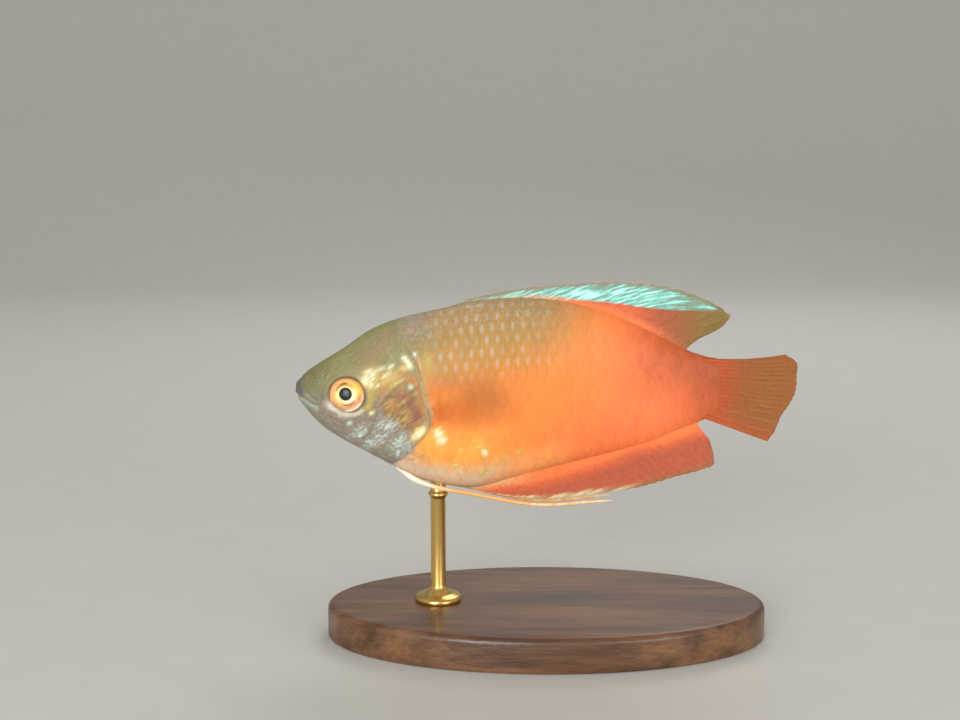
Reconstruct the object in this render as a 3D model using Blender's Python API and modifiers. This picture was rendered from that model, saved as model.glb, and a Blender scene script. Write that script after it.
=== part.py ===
"""A life-size model of a male dwarf gourami of the red-orange kind, on a brass rod over an oval wooden base.

Metres, +Z up. The origin is the middle of the base's underside. The snout points to -X and the left
flank to -Y. The fish's own sizes are in millimetres: reach is the distance behind the tip of the snout,
height the distance above it, and out the distance from the middle plane.
"""

import math

import bmesh
import bpy
import numpy as np
from mathutils import Matrix, Vector

MM = 0.001

# Driving dimensions, in millimetres
TOTAL_LENGTH = 72.0
STANDARD_LENGTH = 59.5
SNOUT_HEIGHT = 37.0
GAP = 0.3
RIGHT_ANGLE = math.radians(90)
SHARP_EDGE = math.radians(35)
BASE_LENGTH, BASE_WIDTH, BASE_THICKNESS = 64.0, 36.0, 5.0
BASE_EDGE, BASE_SIDES = 0.9, 48
ROD_REACH, ROD_RADIUS, ROD_OVERLAP, ROD_SIDES = 20.2, 1.1, 2.0, 24
FOOT_RADIUS, FOOT_THICKNESS, FOOT_EDGE = 3.4, 1.1, 0.3

# The body from snout to tail root: reach, back, belly, half width, level of the greatest width
STATIONS = np.array(
    [
        (0.0, 0.50, -1.10, 0.70, -0.3),
        (0.5, 1.05, -2.30, 1.15, -0.5),
        (1.4, 1.95, -3.60, 1.70, -0.7),
        (3.3, 3.25, -5.70, 2.45, -1.0),
        (6.7, 5.35, -8.00, 3.35, -1.0),
        (10.4, 7.90, -9.95, 4.15, -1.0),
        (13.8, 9.40, -11.90, 4.75, -1.0),
        (19.6, 10.85, -14.30, 5.15, -0.6),
        (25.0, 11.90, -14.90, 5.15, 0.0),
        (31.8, 12.45, -13.20, 4.80, 0.6),
        (38.0, 12.00, -11.60, 4.20, 0.9),
        (45.0, 10.20, -9.80, 3.30, 0.8),
        (51.0, 7.60, -8.10, 2.40, 0.3),
        (56.0, 5.10, -6.00, 1.70, -0.3),
        (59.5, 4.00, -4.90, 1.25, -0.4),
    ]
)
FLANK_FULLNESS = 2.1
RING_POINTS = 36
RINGS_HEAD, RINGS_BODY = 20, 20
HEAD_LENGTH, SNOUT_CROWDING = 19.0, 1.35

# Cut lines seen from the side, as (reach, height)
GILL_OPENING = [
    (13.6, 9.0),
    (15.2, 6.1),
    (16.9, 3.0),
    (18.5, -0.9),
    (18.7, -4.0),
    (17.9, -7.0),
    (16.3, -9.2),
    (14.6, -10.7),
]
GILL_COVER_FRONT = [(13.6, -9.0), (12.0, -6.4), (11.4, -3.0), (11.9, 0.8), (13.4, 4.2)]
OUTLINE_STEPS = 2
TRUNK_CUTS = (31.5, 49.5)
THROAT = (13.4, -13.5)
NAPE = (13.2, 11.0)
BEYOND_SNOUT, BEYOND_TAIL, BEYOND_BACK, BEYOND_BELLY, BEYOND_FLANK = -3.0, 62.0, 15.0, -17.0, 12.0
MOUTH = [(-1.5, -0.75), (0.2, -0.95), (1.3, -1.75), (2.6, -2.95), (3.8, -4.6), (4.5, -8.2), (-1.5, -8.2)]
GILL_COVER_RISE, GILL_COVER_DEPTH, GILL_COVER_INNER, GILL_BED_OPENING = 0.18, 0.95, 0.7, 1.5
GILL_COVER_SPAN = (7.0, 22.0)
GILL_CORE_SPAN = (6.0, 24.0)
HEAD_SPAN, JAW_SPAN = (0.0, 22.0), (0.0, 10.0)
TRUNK_SPANS = {"shoulder": (11.0, 34.0), "flank": (29.0, 52.0), "tail_stalk": (47.0, STANDARD_LENGTH)}

# The head's small parts, in millimetres
EYE_REACH, EYE_LEVEL, EYE_OUT = 7.44, -1.04, 2.62
EYE_RADIUS, EYE_HALF_DEPTH, EYE_TURN = 2.68, 1.7, math.radians(9)
EYE_RIM_RADIUS, EYE_RIM_WIRE, EYE_RIM_OUT = 2.93, 0.42, 3.2
NOSTRILS = ((2.6, 1.35, 0.30), (4.2, 1.75, 0.36))
LIP_RADIUS, LIP_END = 0.38, 0.7
UPPER_LIP = [(0.1, -0.25), (0.6, -0.65), (1.3, -1.25), (2.2, -2.05)]
LOWER_LIP = [(0.15, -1.3), (0.6, -1.7), (1.4, -2.45), (2.3, -3.35)]

# Fins: half thickness at the root and along the membrane, and the rise of a ray over the membrane
ROOT_HALF, MEMBRANE_HALF, TIP_HALF = 0.62, 0.25, 0.15
RAY_RISE = 0.2
SPINE_COLUMNS = (-0.25, 0.0, 0.25)
RAY_COLUMNS = (-0.28, 0.0, 0.28)
FORKED_COLUMNS = (-0.34, -0.17, 0.0, 0.17, 0.34)
MARGIN_DIP, EDGE_FADE = 0.05, 0.65
FORK_START, FORK_LENGTH = 0.45, 0.25
FIN_ROWS, ANAL_ROWS, TAIL_ROWS = 6, 5, 7
ROOT_DEPTH = 0.5

# Key rays of each fin: share along the fin, base reach (or height), tip reach, tip height
DORSAL_KEYS = [
    (0.00, 22.4, 24.6, 12.4),
    (0.15, 27.5, 31.2, 13.7),
    (0.35, 34.0, 39.2, 14.5),
    (0.55, 40.5, 47.0, 14.7),
    (0.70, 45.5, 53.2, 14.1),
    (0.80, 49.0, 58.0, 12.6),
    (0.88, 51.8, 61.3, 10.8),
    (0.92, 53.0, 62.2, 9.8),
    (0.96, 54.3, 60.8, 8.2),
    (1.00, 55.4, 57.8, 6.7),
]
ANAL_KEYS = [
    (0.00, 24.2, 26.4, -15.7),
    (0.12, 28.0, 31.0, -16.5),
    (0.30, 33.5, 37.0, -16.75),
    (0.45, 38.0, 43.0, -16.1),
    (0.60, 43.0, 49.2, -15.1),
    (0.75, 48.0, 54.6, -13.5),
    (0.87, 52.0, 58.8, -12.3),
    (0.93, 54.5, 60.2, -11.5),
    (0.97, 56.0, 60.0, -9.7),
    (1.00, 57.3, 59.4, -7.9),
]
TAIL_KEYS = [
    (0.00, 3.9, 70.2, 4.4),
    (0.08, 3.3, 71.5, 3.6),
    (0.30, 1.5, 72.0, 1.4),
    (0.50, 0.0, 71.9, -1.2),
    (0.70, -1.7, 70.9, -3.3),
    (0.84, -2.9, 69.8, -5.0),
    (0.93, -4.1, 69.0, -7.0),
    (1.00, -4.8, 68.0, -8.4),
]
PECTORAL_KEYS = [
    (0.00, -2.0, 27.6, 2.7),
    (0.20, -2.6, 31.0, 2.2),
    (0.40, -3.2, 32.8, 0.4),
    (0.65, -4.0, 31.7, -2.3),
    (0.88, -4.8, 28.2, -4.7),
    (1.00, -5.2, 25.4, -5.8),
]
DORSAL_RAYS, ANAL_RAYS, TAIL_RAYS, PECTORAL_RAYS = (16, 8), (17, 14), (0, 14), (0, 10)
DORSAL_LAST_SPINE, ANAL_LAST_SPINE = 0.70, 0.58
DORSAL_BOW, DORSAL_SWEEP = 0.9, 0.5
ANAL_BOW, ANAL_SWEEP = -0.7, -0.45
TAIL_REACH, TAIL_ROOT_HALF, TAIL_BOW, TAIL_SWEEP, TAIL_WAVE = 58.8, 0.6, -1.6, 0.8, 2.4
PECTORAL_REACH, PECTORAL_FLARE, PECTORAL_ROOT_HALF = 19.5, math.radians(17), 0.45
PECTORAL_DEPTH, PECTORAL_STEP, PECTORAL_CURL = 0.8, 1.2, 0.8

# The thread-like pelvic fin: reach, height, distance from the middle plane, radius
FEELER = [
    (14.9, -12.2, 0.9, 0.42),
    (16.6, -13.45, 1.35, 0.42),
    (19.0, -14.35, 1.95, 0.34),
    (22.0, -15.00, 2.25, 0.30),
    (25.0, -15.55, 2.10, 0.28),
    (28.0, -16.25, 1.75, 0.27),
    (31.0, -16.90, 1.45, 0.26),
    (34.5, -17.35, 1.35, 0.26),
    (38.0, -17.30, 1.35, 0.25),
    (42.0, -16.90, 1.55, 0.22),
    (45.5, -16.60, 1.80, 0.12),
]
FEELER_POINTS = 22

# Colour, roughness and metallic value of each finish
FINISHES = {
    "silver_skin": ((0.36, 0.33, 0.29), 0.4, 0.1),
    "orange_skin": ((0.80, 0.19, 0.03), 0.45, 0.0),
    "red_fin": ((0.62, 0.09, 0.03), 0.5, 0.0),
    "clear_fin": ((0.70, 0.42, 0.22), 0.4, 0.0),
    "gold_thread": ((0.75, 0.38, 0.12), 0.45, 0.0),
    "gold_eye": ((0.85, 0.40, 0.08), 0.15, 0.0),
    "walnut": ((0.13, 0.06, 0.03), 0.4, 0.0),
    "brass": ((0.72, 0.50, 0.20), 0.3, 1.0),
}


def clear_scene():
    for found in list(bpy.data.objects):
        bpy.data.objects.remove(found)


def collection_named(name):
    made = bpy.data.collections.new(name)
    bpy.context.scene.collection.children.link(made)
    return made


def finish_named(name):
    if name in bpy.data.materials:
        return bpy.data.materials[name]
    colour, roughness, metallic = FINISHES[name]
    material = bpy.data.materials.new(name)
    material.use_nodes = True
    shader = material.node_tree.nodes["Principled BSDF"]
    shader.inputs["Base Color"].default_value = (*colour, 1.0)
    shader.inputs["Roughness"].default_value = roughness
    shader.inputs["Metallic"].default_value = metallic
    return material


def smooth_through(knots, values, at):
    """Values at any places on a curve through the knots, with slopes from the knots either side."""
    knots, values = np.asarray(knots, float), np.asarray(values, float)
    at = np.clip(at, knots[0], knots[-1])
    steps = np.diff(knots)
    rises = np.diff(values) / steps
    slopes = np.empty_like(values)
    slopes[1:-1] = (rises[:-1] * steps[1:] + rises[1:] * steps[:-1]) / (steps[1:] + steps[:-1])
    slopes[0], slopes[-1] = rises[0], rises[-1]
    i = np.clip(np.searchsorted(knots, at, side="right") - 1, 0, len(steps) - 1)
    t = (at - knots[i]) / steps[i]
    return (
        values[i] * (1 + 2 * t) * (1 - t) ** 2
        + slopes[i] * steps[i] * t * (1 - t) ** 2
        + values[i + 1] * t * t * (3 - 2 * t)
        + slopes[i + 1] * steps[i] * t * t * (t - 1)
    )


def smooth_outline(points):
    """The points of an open outline with others between them, on a smooth curve through them all."""
    table = np.array(points)
    at = np.linspace(0.0, len(points) - 1.0, (len(points) - 1) * OUTLINE_STEPS + 1)
    knots = np.arange(len(points))
    reaches, heights = (smooth_through(knots, table[:, k], at).tolist() for k in (0, 1))
    return list(zip(reaches, heights))


def section(reach):
    """Back, belly, half width and widest level of the body at this reach."""
    return [float(smooth_through(STATIONS[:, 0], STATIONS[:, k], reach)) for k in range(1, 5)]


def flank(reach, height):
    """Half width of the body at this reach and height."""
    back, belly, half_width, level = section(reach)
    span = back - level if height > level else level - belly
    share = min(abs(height - level) / span, 1.0)
    return half_width * (1 - share**FLANK_FULLNESS) ** (1 / FLANK_FULLNESS)


def world(reach, out, height):
    """The fish's own millimetres as a point in the model's frame."""
    return Vector((reach - TOTAL_LENGTH / 2, out, height + SNOUT_HEIGHT)) * MM


def make_guide(cutter):
    cutter.hide_render = True
    cutter.display_type = "WIRE"


def move_to(collection, thing):
    for home in list(thing.users_collection):
        home.objects.unlink(thing)
    collection.objects.link(thing)


def mesh_object(name, points, faces, collection, finish=None):
    """A mesh turned outward. Without a finish it is a cutter, which is left out of the model."""
    mesh = bpy.data.meshes.new(name)
    mesh.from_pydata(points, [], faces)
    made = bpy.data.objects.new(name, mesh)
    collection.objects.link(made)
    shape = bmesh.new()
    shape.from_mesh(mesh)
    bmesh.ops.recalc_face_normals(shape, faces=shape.faces)
    shape.to_mesh(mesh)
    shape.free()
    if finish:
        mesh.materials.append(finish_named(finish))
        mesh.shade_smooth()
        mesh.set_sharp_from_angle(angle=SHARP_EDGE)
    else:
        make_guide(made)
    return made


def body_reaches(first, last):
    """Places of the rings: close together at the snout, wider along the trunk."""
    head = HEAD_LENGTH * (np.arange(RINGS_HEAD) / RINGS_HEAD) ** SNOUT_CROWDING
    trunk = np.linspace(HEAD_LENGTH, STANDARD_LENGTH, RINGS_BODY)
    found = [r for r in (*head, *trunk) if first < r < last]
    return [first, *found, last]


def body_ring(reach, grow):
    back, belly, half_width, level = section(reach)
    power = 2 / FLANK_FULLNESS
    ring = []
    for k in range(RING_POINTS):
        turn = 2 * math.pi * k / RING_POINTS
        side, rise = math.cos(turn), math.sin(turn)
        span = (back - level if rise > 0 else level - belly) + grow
        out = math.copysign(abs(side) ** power, side) * (half_width + grow)
        ring.append((out, level + math.copysign(abs(rise) ** power, rise) * span))
    return ring


def body_loft(name, collection, finish=None, grow=0.0, span=(0.0, STANDARD_LENGTH)):
    """The whole body, or a length of it, grown or shrunk, as one closed surface."""
    points, faces = [], []
    reaches = body_reaches(*span)
    for index, reach in enumerate(reaches):
        shift = -grow if index == 0 else grow if index == len(reaches) - 1 else 0.0
        points += [world(reach + shift, out, height) for out, height in body_ring(reach, grow)]
    for j in range(len(reaches) - 1):
        for k in range(RING_POINTS):
            a, b = j * RING_POINTS + k, j * RING_POINTS + (k + 1) % RING_POINTS
            faces.append((a, b, b + RING_POINTS, a + RING_POINTS))
    faces.append(tuple(range(RING_POINTS))[::-1])
    faces.append(tuple(range((len(reaches) - 1) * RING_POINTS, len(reaches) * RING_POINTS)))
    return mesh_object(name, points, faces, collection, finish)


def grown(outline, by):
    """A closed outline with every side moved out by the same distance."""
    count = len(outline)
    area = sum(a[0] * b[1] - b[0] * a[1] for a, b in zip(outline, outline[1:] + outline[:1]))
    outward = 1 if area > 0 else -1
    moved = []
    for k in range(count):
        before, here, after = (Vector(outline[i % count]) for i in (k - 1, k, k + 1))
        first, second = (here - before).normalized(), (after - here).normalized()
        normals = [Vector((d.y, -d.x)) * outward for d in (first, second)]
        mitre = (normals[0] + normals[1]).normalized()
        moved.append(tuple(here + mitre * by / max(mitre.dot(normals[0]), 0.4)))
    return moved


def slab(name, outline, collection, low=-BEYOND_FLANK, high=BEYOND_FLANK):
    """An outline seen from the side, drawn through from one distance out to another, as a cutter."""
    count = len(outline)
    points = [world(r, low, h) for r, h in outline] + [world(r, high, h) for r, h in outline]
    faces = [tuple(range(count)), tuple(range(count, 2 * count))[::-1]]
    faces += [(k, (k + 1) % count, (k + 1) % count + count, k + count) for k in range(count)]
    return mesh_object(name, points, faces, collection)


def boolean(target, operation, cutter):
    modifier = target.modifiers.new(cutter.name, "BOOLEAN")
    modifier.operation = operation
    modifier.solver = "EXACT"
    modifier.object = cutter


def union_of(name, base, pieces, collection, finish):
    """One closed mesh from the base and the pieces that grow from it, which are then removed."""
    group = bpy.data.collections.new(name + "_pieces")
    bpy.context.scene.collection.children.link(group)
    for piece in pieces:
        move_to(group, piece)
    joining = base.modifiers.new("join", "BOOLEAN")
    joining.operation, joining.solver, joining.operand_type = "UNION", "EXACT", "COLLECTION"
    joining.collection = group
    graph = bpy.context.evaluated_depsgraph_get()
    mesh = bpy.data.meshes.new_from_object(base.evaluated_get(graph))
    made = bpy.data.objects.new(name, mesh)
    collection.objects.link(made)
    mesh.materials.clear()
    mesh.materials.append(finish_named(finish))
    for piece in (*pieces, base):
        bpy.data.objects.remove(piece)
    bpy.data.collections.remove(group)
    return made


def wire(name, path, radii, collection, finish=None, sides=2):
    """A tube along a path, its radius changing from point to point, as a closed mesh."""
    curve = bpy.data.curves.new(name, "CURVE")
    curve.dimensions = "3D"
    curve.bevel_depth = 1.0
    curve.bevel_resolution = sides
    curve.use_fill_caps = True
    line = curve.splines.new("POLY")
    line.points.add(len(path) - 1)
    for point, place, radius in zip(line.points, path, radii):
        point.co = (*place, 1.0)
        point.radius = radius * MM
    drawn = bpy.data.objects.new(name + "_line", curve)
    collection.objects.link(drawn)
    graph = bpy.context.evaluated_depsgraph_get()
    mesh = bpy.data.meshes.new_from_object(drawn.evaluated_get(graph))
    bpy.data.objects.remove(drawn)
    shape = bmesh.new()
    shape.from_mesh(mesh)
    bmesh.ops.remove_doubles(shape, verts=shape.verts, dist=1e-6)
    bmesh.ops.recalc_face_normals(shape, faces=shape.faces)
    shape.to_mesh(mesh)
    shape.free()
    made = bpy.data.objects.new(name, mesh)
    collection.objects.link(made)
    mesh.materials.clear()
    if finish:
        mesh.materials.append(finish_named(finish))
        mesh.shade_smooth()
    return made


def lip(name, line, collection):
    """A soft ridge that runs round the front of the mouth, from corner to corner."""
    front, *back = line
    left, right = ([(r, side * flank(r, h), h) for r, h in back] for side in (-1, 1))
    path = [*left[::-1], (front[0], 0.0, front[1]), *right]
    radii = [LIP_RADIUS * (LIP_END if k in (0, len(path) - 1) else 1.0) for k in range(len(path))]
    return wire(name, [world(*place) for place in path], radii, collection)


def eye_rim(side):
    """A soft ring raised in the skin round the eye."""
    bpy.ops.mesh.primitive_torus_add(
        major_segments=24, minor_segments=8, major_radius=EYE_RIM_RADIUS * MM, minor_radius=EYE_RIM_WIRE * MM
    )
    rim = bpy.context.object
    rim.name = "eye_rim"
    rim.data.transform(eye_place(side, EYE_RIM_OUT))
    return rim


def eye_place(side, out):
    """Turns a shape made flat about Z so that it faces out of the head at the eye."""
    facing = Matrix.Rotation(side * EYE_TURN, 4, "Z") @ Matrix.Rotation(RIGHT_ANGLE, 4, "X")
    return Matrix.Translation(world(EYE_REACH, side * out, EYE_LEVEL)) @ facing


def eye_ball(name, side, collection, finish=None, grow=0.0):
    bpy.ops.mesh.primitive_uv_sphere_add(segments=20, ring_count=12, radius=1.0)
    ball = bpy.context.object
    ball.name = ball.data.name = name
    wide, deep = (EYE_RADIUS + grow) * MM, (EYE_HALF_DEPTH + grow) * MM
    ball.data.transform(eye_place(side, EYE_OUT) @ Matrix.Diagonal((wide, wide, deep, 1.0)))
    move_to(collection, ball)
    if finish:
        ball.data.materials.append(finish_named(finish))
        ball.data.shade_smooth()
    else:
        make_guide(ball)
    return ball


def nostril(name, side, reach, height, radius, collection):
    bpy.ops.mesh.primitive_uv_sphere_add(segments=8, ring_count=6, radius=radius * MM)
    pit = bpy.context.object
    pit.name = name
    pit.data.transform(Matrix.Translation(world(reach, side * flank(reach, height), height)))
    move_to(collection, pit)
    make_guide(pit)
    return pit


def sided(name, side):
    return f"{name}_{'left' if side < 0 else 'right'}"


def build_head(fish, cutters):
    """The head, with lips, eye rims, nostrils and eye sockets, and beds for the gill covers and the jaw."""
    before = [THROAT, (BEYOND_SNOUT, THROAT[1]), (BEYOND_SNOUT, NAPE[1]), NAPE]
    whole = body_loft("head_whole", fish, "silver_skin", span=HEAD_SPAN)
    rims = [eye_rim(side) for side in (-1, 1)]
    head = union_of("head", whole, [*rims, lip("upper_lip", UPPER_LIP, fish)], fish, "silver_skin")
    boolean(head, "INTERSECT", slab("head_zone", smooth_outline(GILL_OPENING) + before, cutters))
    boolean(head, "DIFFERENCE", slab("mouth_cut", grown(MOUTH, GAP), cutters))
    for side in (-1, 1):
        bed = gill_zone(sided("gill_bed", side), side, GAP, cutters)
        core = body_loft(sided("bed_core", side), cutters, grow=-GILL_COVER_DEPTH - GAP, span=GILL_CORE_SPAN)
        boolean(bed, "DIFFERENCE", core)
        boolean(head, "DIFFERENCE", bed)
        boolean(head, "DIFFERENCE", eye_ball(sided("eye_socket", side), side, cutters, grow=GAP))
        for index, (reach, height, radius) in enumerate(NOSTRILS):
            pit = nostril(sided(f"nostril_{index}", side), side, reach, height, radius, cutters)
            boolean(head, "DIFFERENCE", pit)


def build_jaw(fish, cutters):
    whole = body_loft("jaw_whole", fish, "silver_skin", span=JAW_SPAN)
    jaw = union_of("lower_jaw", whole, [lip("lower_lip", LOWER_LIP, fish)], fish, "silver_skin")
    boolean(jaw, "INTERSECT", slab("jaw_zone", MOUTH, cutters))


def gill_zone(name, side, grow, collection):
    """The side view of a gill cover drawn through one flank; a grown one is open behind, as a bed is."""
    opening = smooth_outline(GILL_OPENING)[OUTLINE_STEPS:-OUTLINE_STEPS]
    outline = grown(opening + smooth_outline(GILL_COVER_FRONT), grow)
    if grow:
        rear, front = outline[: len(opening)], outline[len(opening) :]
        outline = [rear[0], *((r + GILL_BED_OPENING, h) for r, h in rear), rear[-1], *front]
    low, high = sorted((side * (GILL_COVER_INNER - grow), side * BEYOND_FLANK))
    return slab(name, outline, collection, low, high)


def build_gill_cover(side, fish, cutters):
    name = sided("gill_cover", side)
    cover = body_loft(name, fish, "silver_skin", grow=GILL_COVER_RISE, span=GILL_COVER_SPAN)
    core = body_loft(name + "_core", cutters, grow=-GILL_COVER_DEPTH, span=GILL_CORE_SPAN)
    boolean(cover, "INTERSECT", gill_zone(name + "_zone", side, 0.0, cutters))
    boolean(cover, "DIFFERENCE", core)


def build_trunk(fish, cutters):
    """The body behind the gill openings, parted into shoulder, flank and tail stalk."""
    behind = [(r + GAP, h) for r, h in smooth_outline(GILL_OPENING)]
    low, high = BEYOND_BELLY, BEYOND_BACK
    nape, throat = (NAPE[0] + GAP, high), (THROAT[0] + GAP, low)
    shoulder_end, flank_end = (cut - GAP / 2 for cut in TRUNK_CUTS)
    flank_start, stalk_start = (cut + GAP / 2 for cut in TRUNK_CUTS)
    outlines = {
        "shoulder": [nape, *behind, throat, (shoulder_end, low), (shoulder_end, high)],
        "flank": [(flank_start, low), (flank_end, low), (flank_end, high), (flank_start, high)],
        "tail_stalk": [(stalk_start, low), (BEYOND_TAIL, low), (BEYOND_TAIL, high), (stalk_start, high)],
    }
    for name, outline in outlines.items():
        piece = body_loft(name, fish, "orange_skin", span=TRUNK_SPANS[name])
        boolean(piece, "INTERSECT", slab(name + "_zone", outline, cutters))


def key_curves(keys):
    """Functions of the share along a fin: base place, tip reach and tip height."""
    table = np.array(keys)
    return [lambda at, k=k: float(smooth_through(table[:, 0], table[:, k], at)) for k in (1, 2, 3)]


def ray_shares(counts, last_spine):
    """Where each spine and soft ray stands along the fin."""
    spines, rays = counts
    if not spines:
        return [(share, False) for share in np.linspace(0.0, 1.0, rays)]
    gap = (1.0 - last_spine) / rays
    return [(share, True) for share in np.linspace(0.0, last_spine, spines)] + [
        (last_spine + gap * (k + 1), False) for k in range(rays)
    ]


def ridge(offset, along, width):
    """How far a ray stands out at this offset from its middle. A ray of many columns forks half way out."""
    forks = width == FORKED_COLUMNS[-1]
    fork = min(max((along - FORK_START) / FORK_LENGTH, 0.0), 1.0) if forks else 0.0
    crest = fork * width / 2
    return max(0.0, 1 - abs(abs(offset) - crest) / (width - crest)) * (1 - EDGE_FADE * along)


def fin_columns(counts, last_spine, ray_columns):
    """Shares along the fin where the grid has a column, each with its offset from its ray and its width."""
    spines, rays = counts
    gaps = rays if spines else rays - 1
    spacing = {True: last_spine / max(spines - 1, 1), False: (1.0 - last_spine) / gaps}
    columns = []
    for share, is_spine in ray_shares(counts, last_spine):
        offsets = SPINE_COLUMNS if is_spine else ray_columns
        for offset in offsets:
            at = share + offset * spacing[is_spine]
            if -1e-6 <= at <= 1 + 1e-6:
                columns.append((min(max(at, 0.0), 1.0), offset, offsets[-1], is_spine))
    return columns


def fin(
    name, place, counts, fish, last_spine=0.0, rows=FIN_ROWS, root_half=ROOT_HALF, ray_columns=RAY_COLUMNS
):
    """A fin with its rays raised in its own surface: place(share, along) gives the middle of the sheet."""
    columns = fin_columns(counts, last_spine, ray_columns)
    front, back = [], []
    for share, offset, width, is_spine in columns:
        dip = MARGIN_DIP * abs(offset) / width if is_spine else 0.0
        for row in range(rows + 1):
            along = row / rows
            reach, out, height = place(share, along * (1 - dip * along))
            half = MEMBRANE_HALF + (root_half - MEMBRANE_HALF) * (1 - along) ** 3
            half += RAY_RISE * ridge(offset, along, width)
            half = half if row < rows else TIP_HALF
            front.append(world(reach, out - half, height))
            back.append(world(reach, out + half, height))
    finish = "clear_fin" if name.startswith("pectoral") else "red_fin"
    return sheet_solid(name, front, back, len(columns), rows + 1, fish, finish)


def sheet_solid(name, front, back, columns, rows, fish, finish):
    """Two matching sheets closed round their edge, both split into the same triangles."""
    size = columns * rows
    faces = []
    for c in range(columns - 1):
        for r in range(rows - 1):
            a, b = c * rows + r, (c + 1) * rows + r
            faces += [(a, b, b + 1), (a, b + 1, a + 1)]
            faces += [(a + size, b + 1 + size, b + size), (a + size, a + 1 + size, b + 1 + size)]
    edge = list(range(rows))
    edge += [c * rows + rows - 1 for c in range(1, columns)]
    edge += [(columns - 1) * rows + r for r in range(rows - 2, -1, -1)]
    edge += [c * rows for c in range(columns - 2, 0, -1)]
    for a, b in zip(edge, edge[1:] + edge[:1]):
        faces += [(a, b, b + size), (a, b + size, a + size)]
    return mesh_object(name, front + back, faces, fish, finish)


def on_edge(keys, edge, bow, sweep):
    """The places of a fin that stands on the body's edge, which is 0 for the back and 1 for the belly."""
    base, tip_reach, tip_height = key_curves(keys)
    depth = -ROOT_DEPTH if edge == 0 else ROOT_DEPTH

    def place(share, along):
        root = base(share)
        height = section(root)[edge] + depth
        rise = (tip_height(share) - height) * along + bow * along * (1 - along)
        return root + (tip_reach(share) - root) * along, sweep * share**2 * along**2, height + rise

    return place


def build_dorsal_fin(fish):
    place = on_edge(DORSAL_KEYS, 0, DORSAL_BOW, DORSAL_SWEEP)
    return fin("dorsal_fin", place, DORSAL_RAYS, fish, DORSAL_LAST_SPINE)


def build_anal_fin(fish):
    place = on_edge(ANAL_KEYS, 1, ANAL_BOW, ANAL_SWEEP)
    return fin("anal_fin", place, ANAL_RAYS, fish, ANAL_LAST_SPINE, ANAL_ROWS)


def build_tail_fin(fish):
    base, tip_reach, tip_height = key_curves(TAIL_KEYS)

    def place(share, along):
        height = base(share)
        bow = TAIL_BOW * (1 - share) ** 2 * along * (1 - along)
        out = TAIL_SWEEP * along**2 * math.sin(TAIL_WAVE * share)
        reach = TAIL_REACH + (tip_reach(share) - TAIL_REACH) * along
        return reach, out, height + (tip_height(share) - height) * along + bow

    return fin("tail_fin", place, TAIL_RAYS, fish, 0.0, TAIL_ROWS, TAIL_ROOT_HALF, FORKED_COLUMNS)


def build_pectoral_fin(side, fish):
    base, tip_reach, tip_height = key_curves(PECTORAL_KEYS)

    def place(share, along):
        height = base(share)
        reach = PECTORAL_REACH + (tip_reach(share) - PECTORAL_REACH) * along
        root_out = flank(PECTORAL_REACH, height) - PECTORAL_DEPTH
        stand_off = root_out + PECTORAL_STEP * min(along * FIN_ROWS, 1.0)
        out = stand_off + (reach - PECTORAL_REACH) * math.tan(PECTORAL_FLARE) - PECTORAL_CURL * along**2
        return reach, side * out, height + (tip_height(share) - height) * along

    return fin(sided("pectoral_fin", side), place, PECTORAL_RAYS, fish, root_half=PECTORAL_ROOT_HALF)


def build_pelvic_fin(side, fish):
    table = np.array(FEELER)
    at = np.linspace(0.0, len(table) - 1.0, FEELER_POINTS)
    reach, height, out, radius = (smooth_through(np.arange(len(table)), table[:, k], at) for k in range(4))
    path = [world(r, side * o, h) for r, h, o in zip(reach, height, out)]
    return wire(sided("pelvic_fin", side), path, radius, fish, "gold_thread")


def build_rod(fish, clearance):
    """A turned brass rod with a flat foot, its top hollowed to the curve of the belly."""
    foot = BASE_THICKNESS + GAP
    top = SNOUT_HEIGHT + section(ROD_REACH)[1] + ROD_OVERLAP
    shelf = foot + FOOT_THICKNESS
    profile = [
        (0.0, top),
        (ROD_RADIUS, top),
        (ROD_RADIUS, shelf + 4 * FOOT_EDGE),
        (ROD_RADIUS + FOOT_EDGE, shelf + FOOT_EDGE),
        (ROD_RADIUS + 4 * FOOT_EDGE, shelf),
        (FOOT_RADIUS - FOOT_EDGE, shelf),
        (FOOT_RADIUS, shelf - FOOT_EDGE),
        (FOOT_RADIUS, foot),
        (0.0, foot),
    ]
    lines = [(k, k + 1) for k in range(len(profile) - 1)]
    mesh = bpy.data.meshes.new("stand_rod")
    mesh.from_pydata([(r * MM, 0.0, h * MM) for r, h in profile], lines, [])
    rod = bpy.data.objects.new("stand_rod", mesh)
    rod.location.x = (ROD_REACH - TOTAL_LENGTH / 2) * MM
    fish.objects.link(rod)
    mesh.materials.append(finish_named("brass"))
    turning = rod.modifiers.new("turning", "SCREW")
    turning.steps = turning.render_steps = ROD_SIDES
    turning.use_merge_vertices = True
    turning.merge_threshold = 1e-5
    boolean(rod, "DIFFERENCE", clearance)


def build_base(fish):
    """An oval wooden plate with a rounded upper edge."""
    bpy.ops.mesh.primitive_cylinder_add(vertices=BASE_SIDES, radius=0.5, depth=1.0)
    base = bpy.context.object
    base.name = base.data.name = "stand_base"
    size = Matrix.Diagonal((BASE_LENGTH * MM, BASE_WIDTH * MM, BASE_THICKNESS * MM, 1.0))
    base.data.transform(Matrix.Translation((0.0, 0.0, BASE_THICKNESS * MM / 2)) @ size)
    move_to(fish, base)
    shape = bmesh.new()
    shape.from_mesh(base.data)
    top = [e for e in shape.edges if all(v.co.z > BASE_THICKNESS * MM * 0.9 for v in e.verts)]
    bmesh.ops.bevel(shape, geom=top, offset=BASE_EDGE * MM, segments=3, affect="EDGES", profile=0.5)
    shape.to_mesh(base.data)
    shape.free()
    base.data.materials.append(finish_named("walnut"))
    base.data.shade_smooth()
    base.data.set_sharp_from_angle(angle=SHARP_EDGE)


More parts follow.
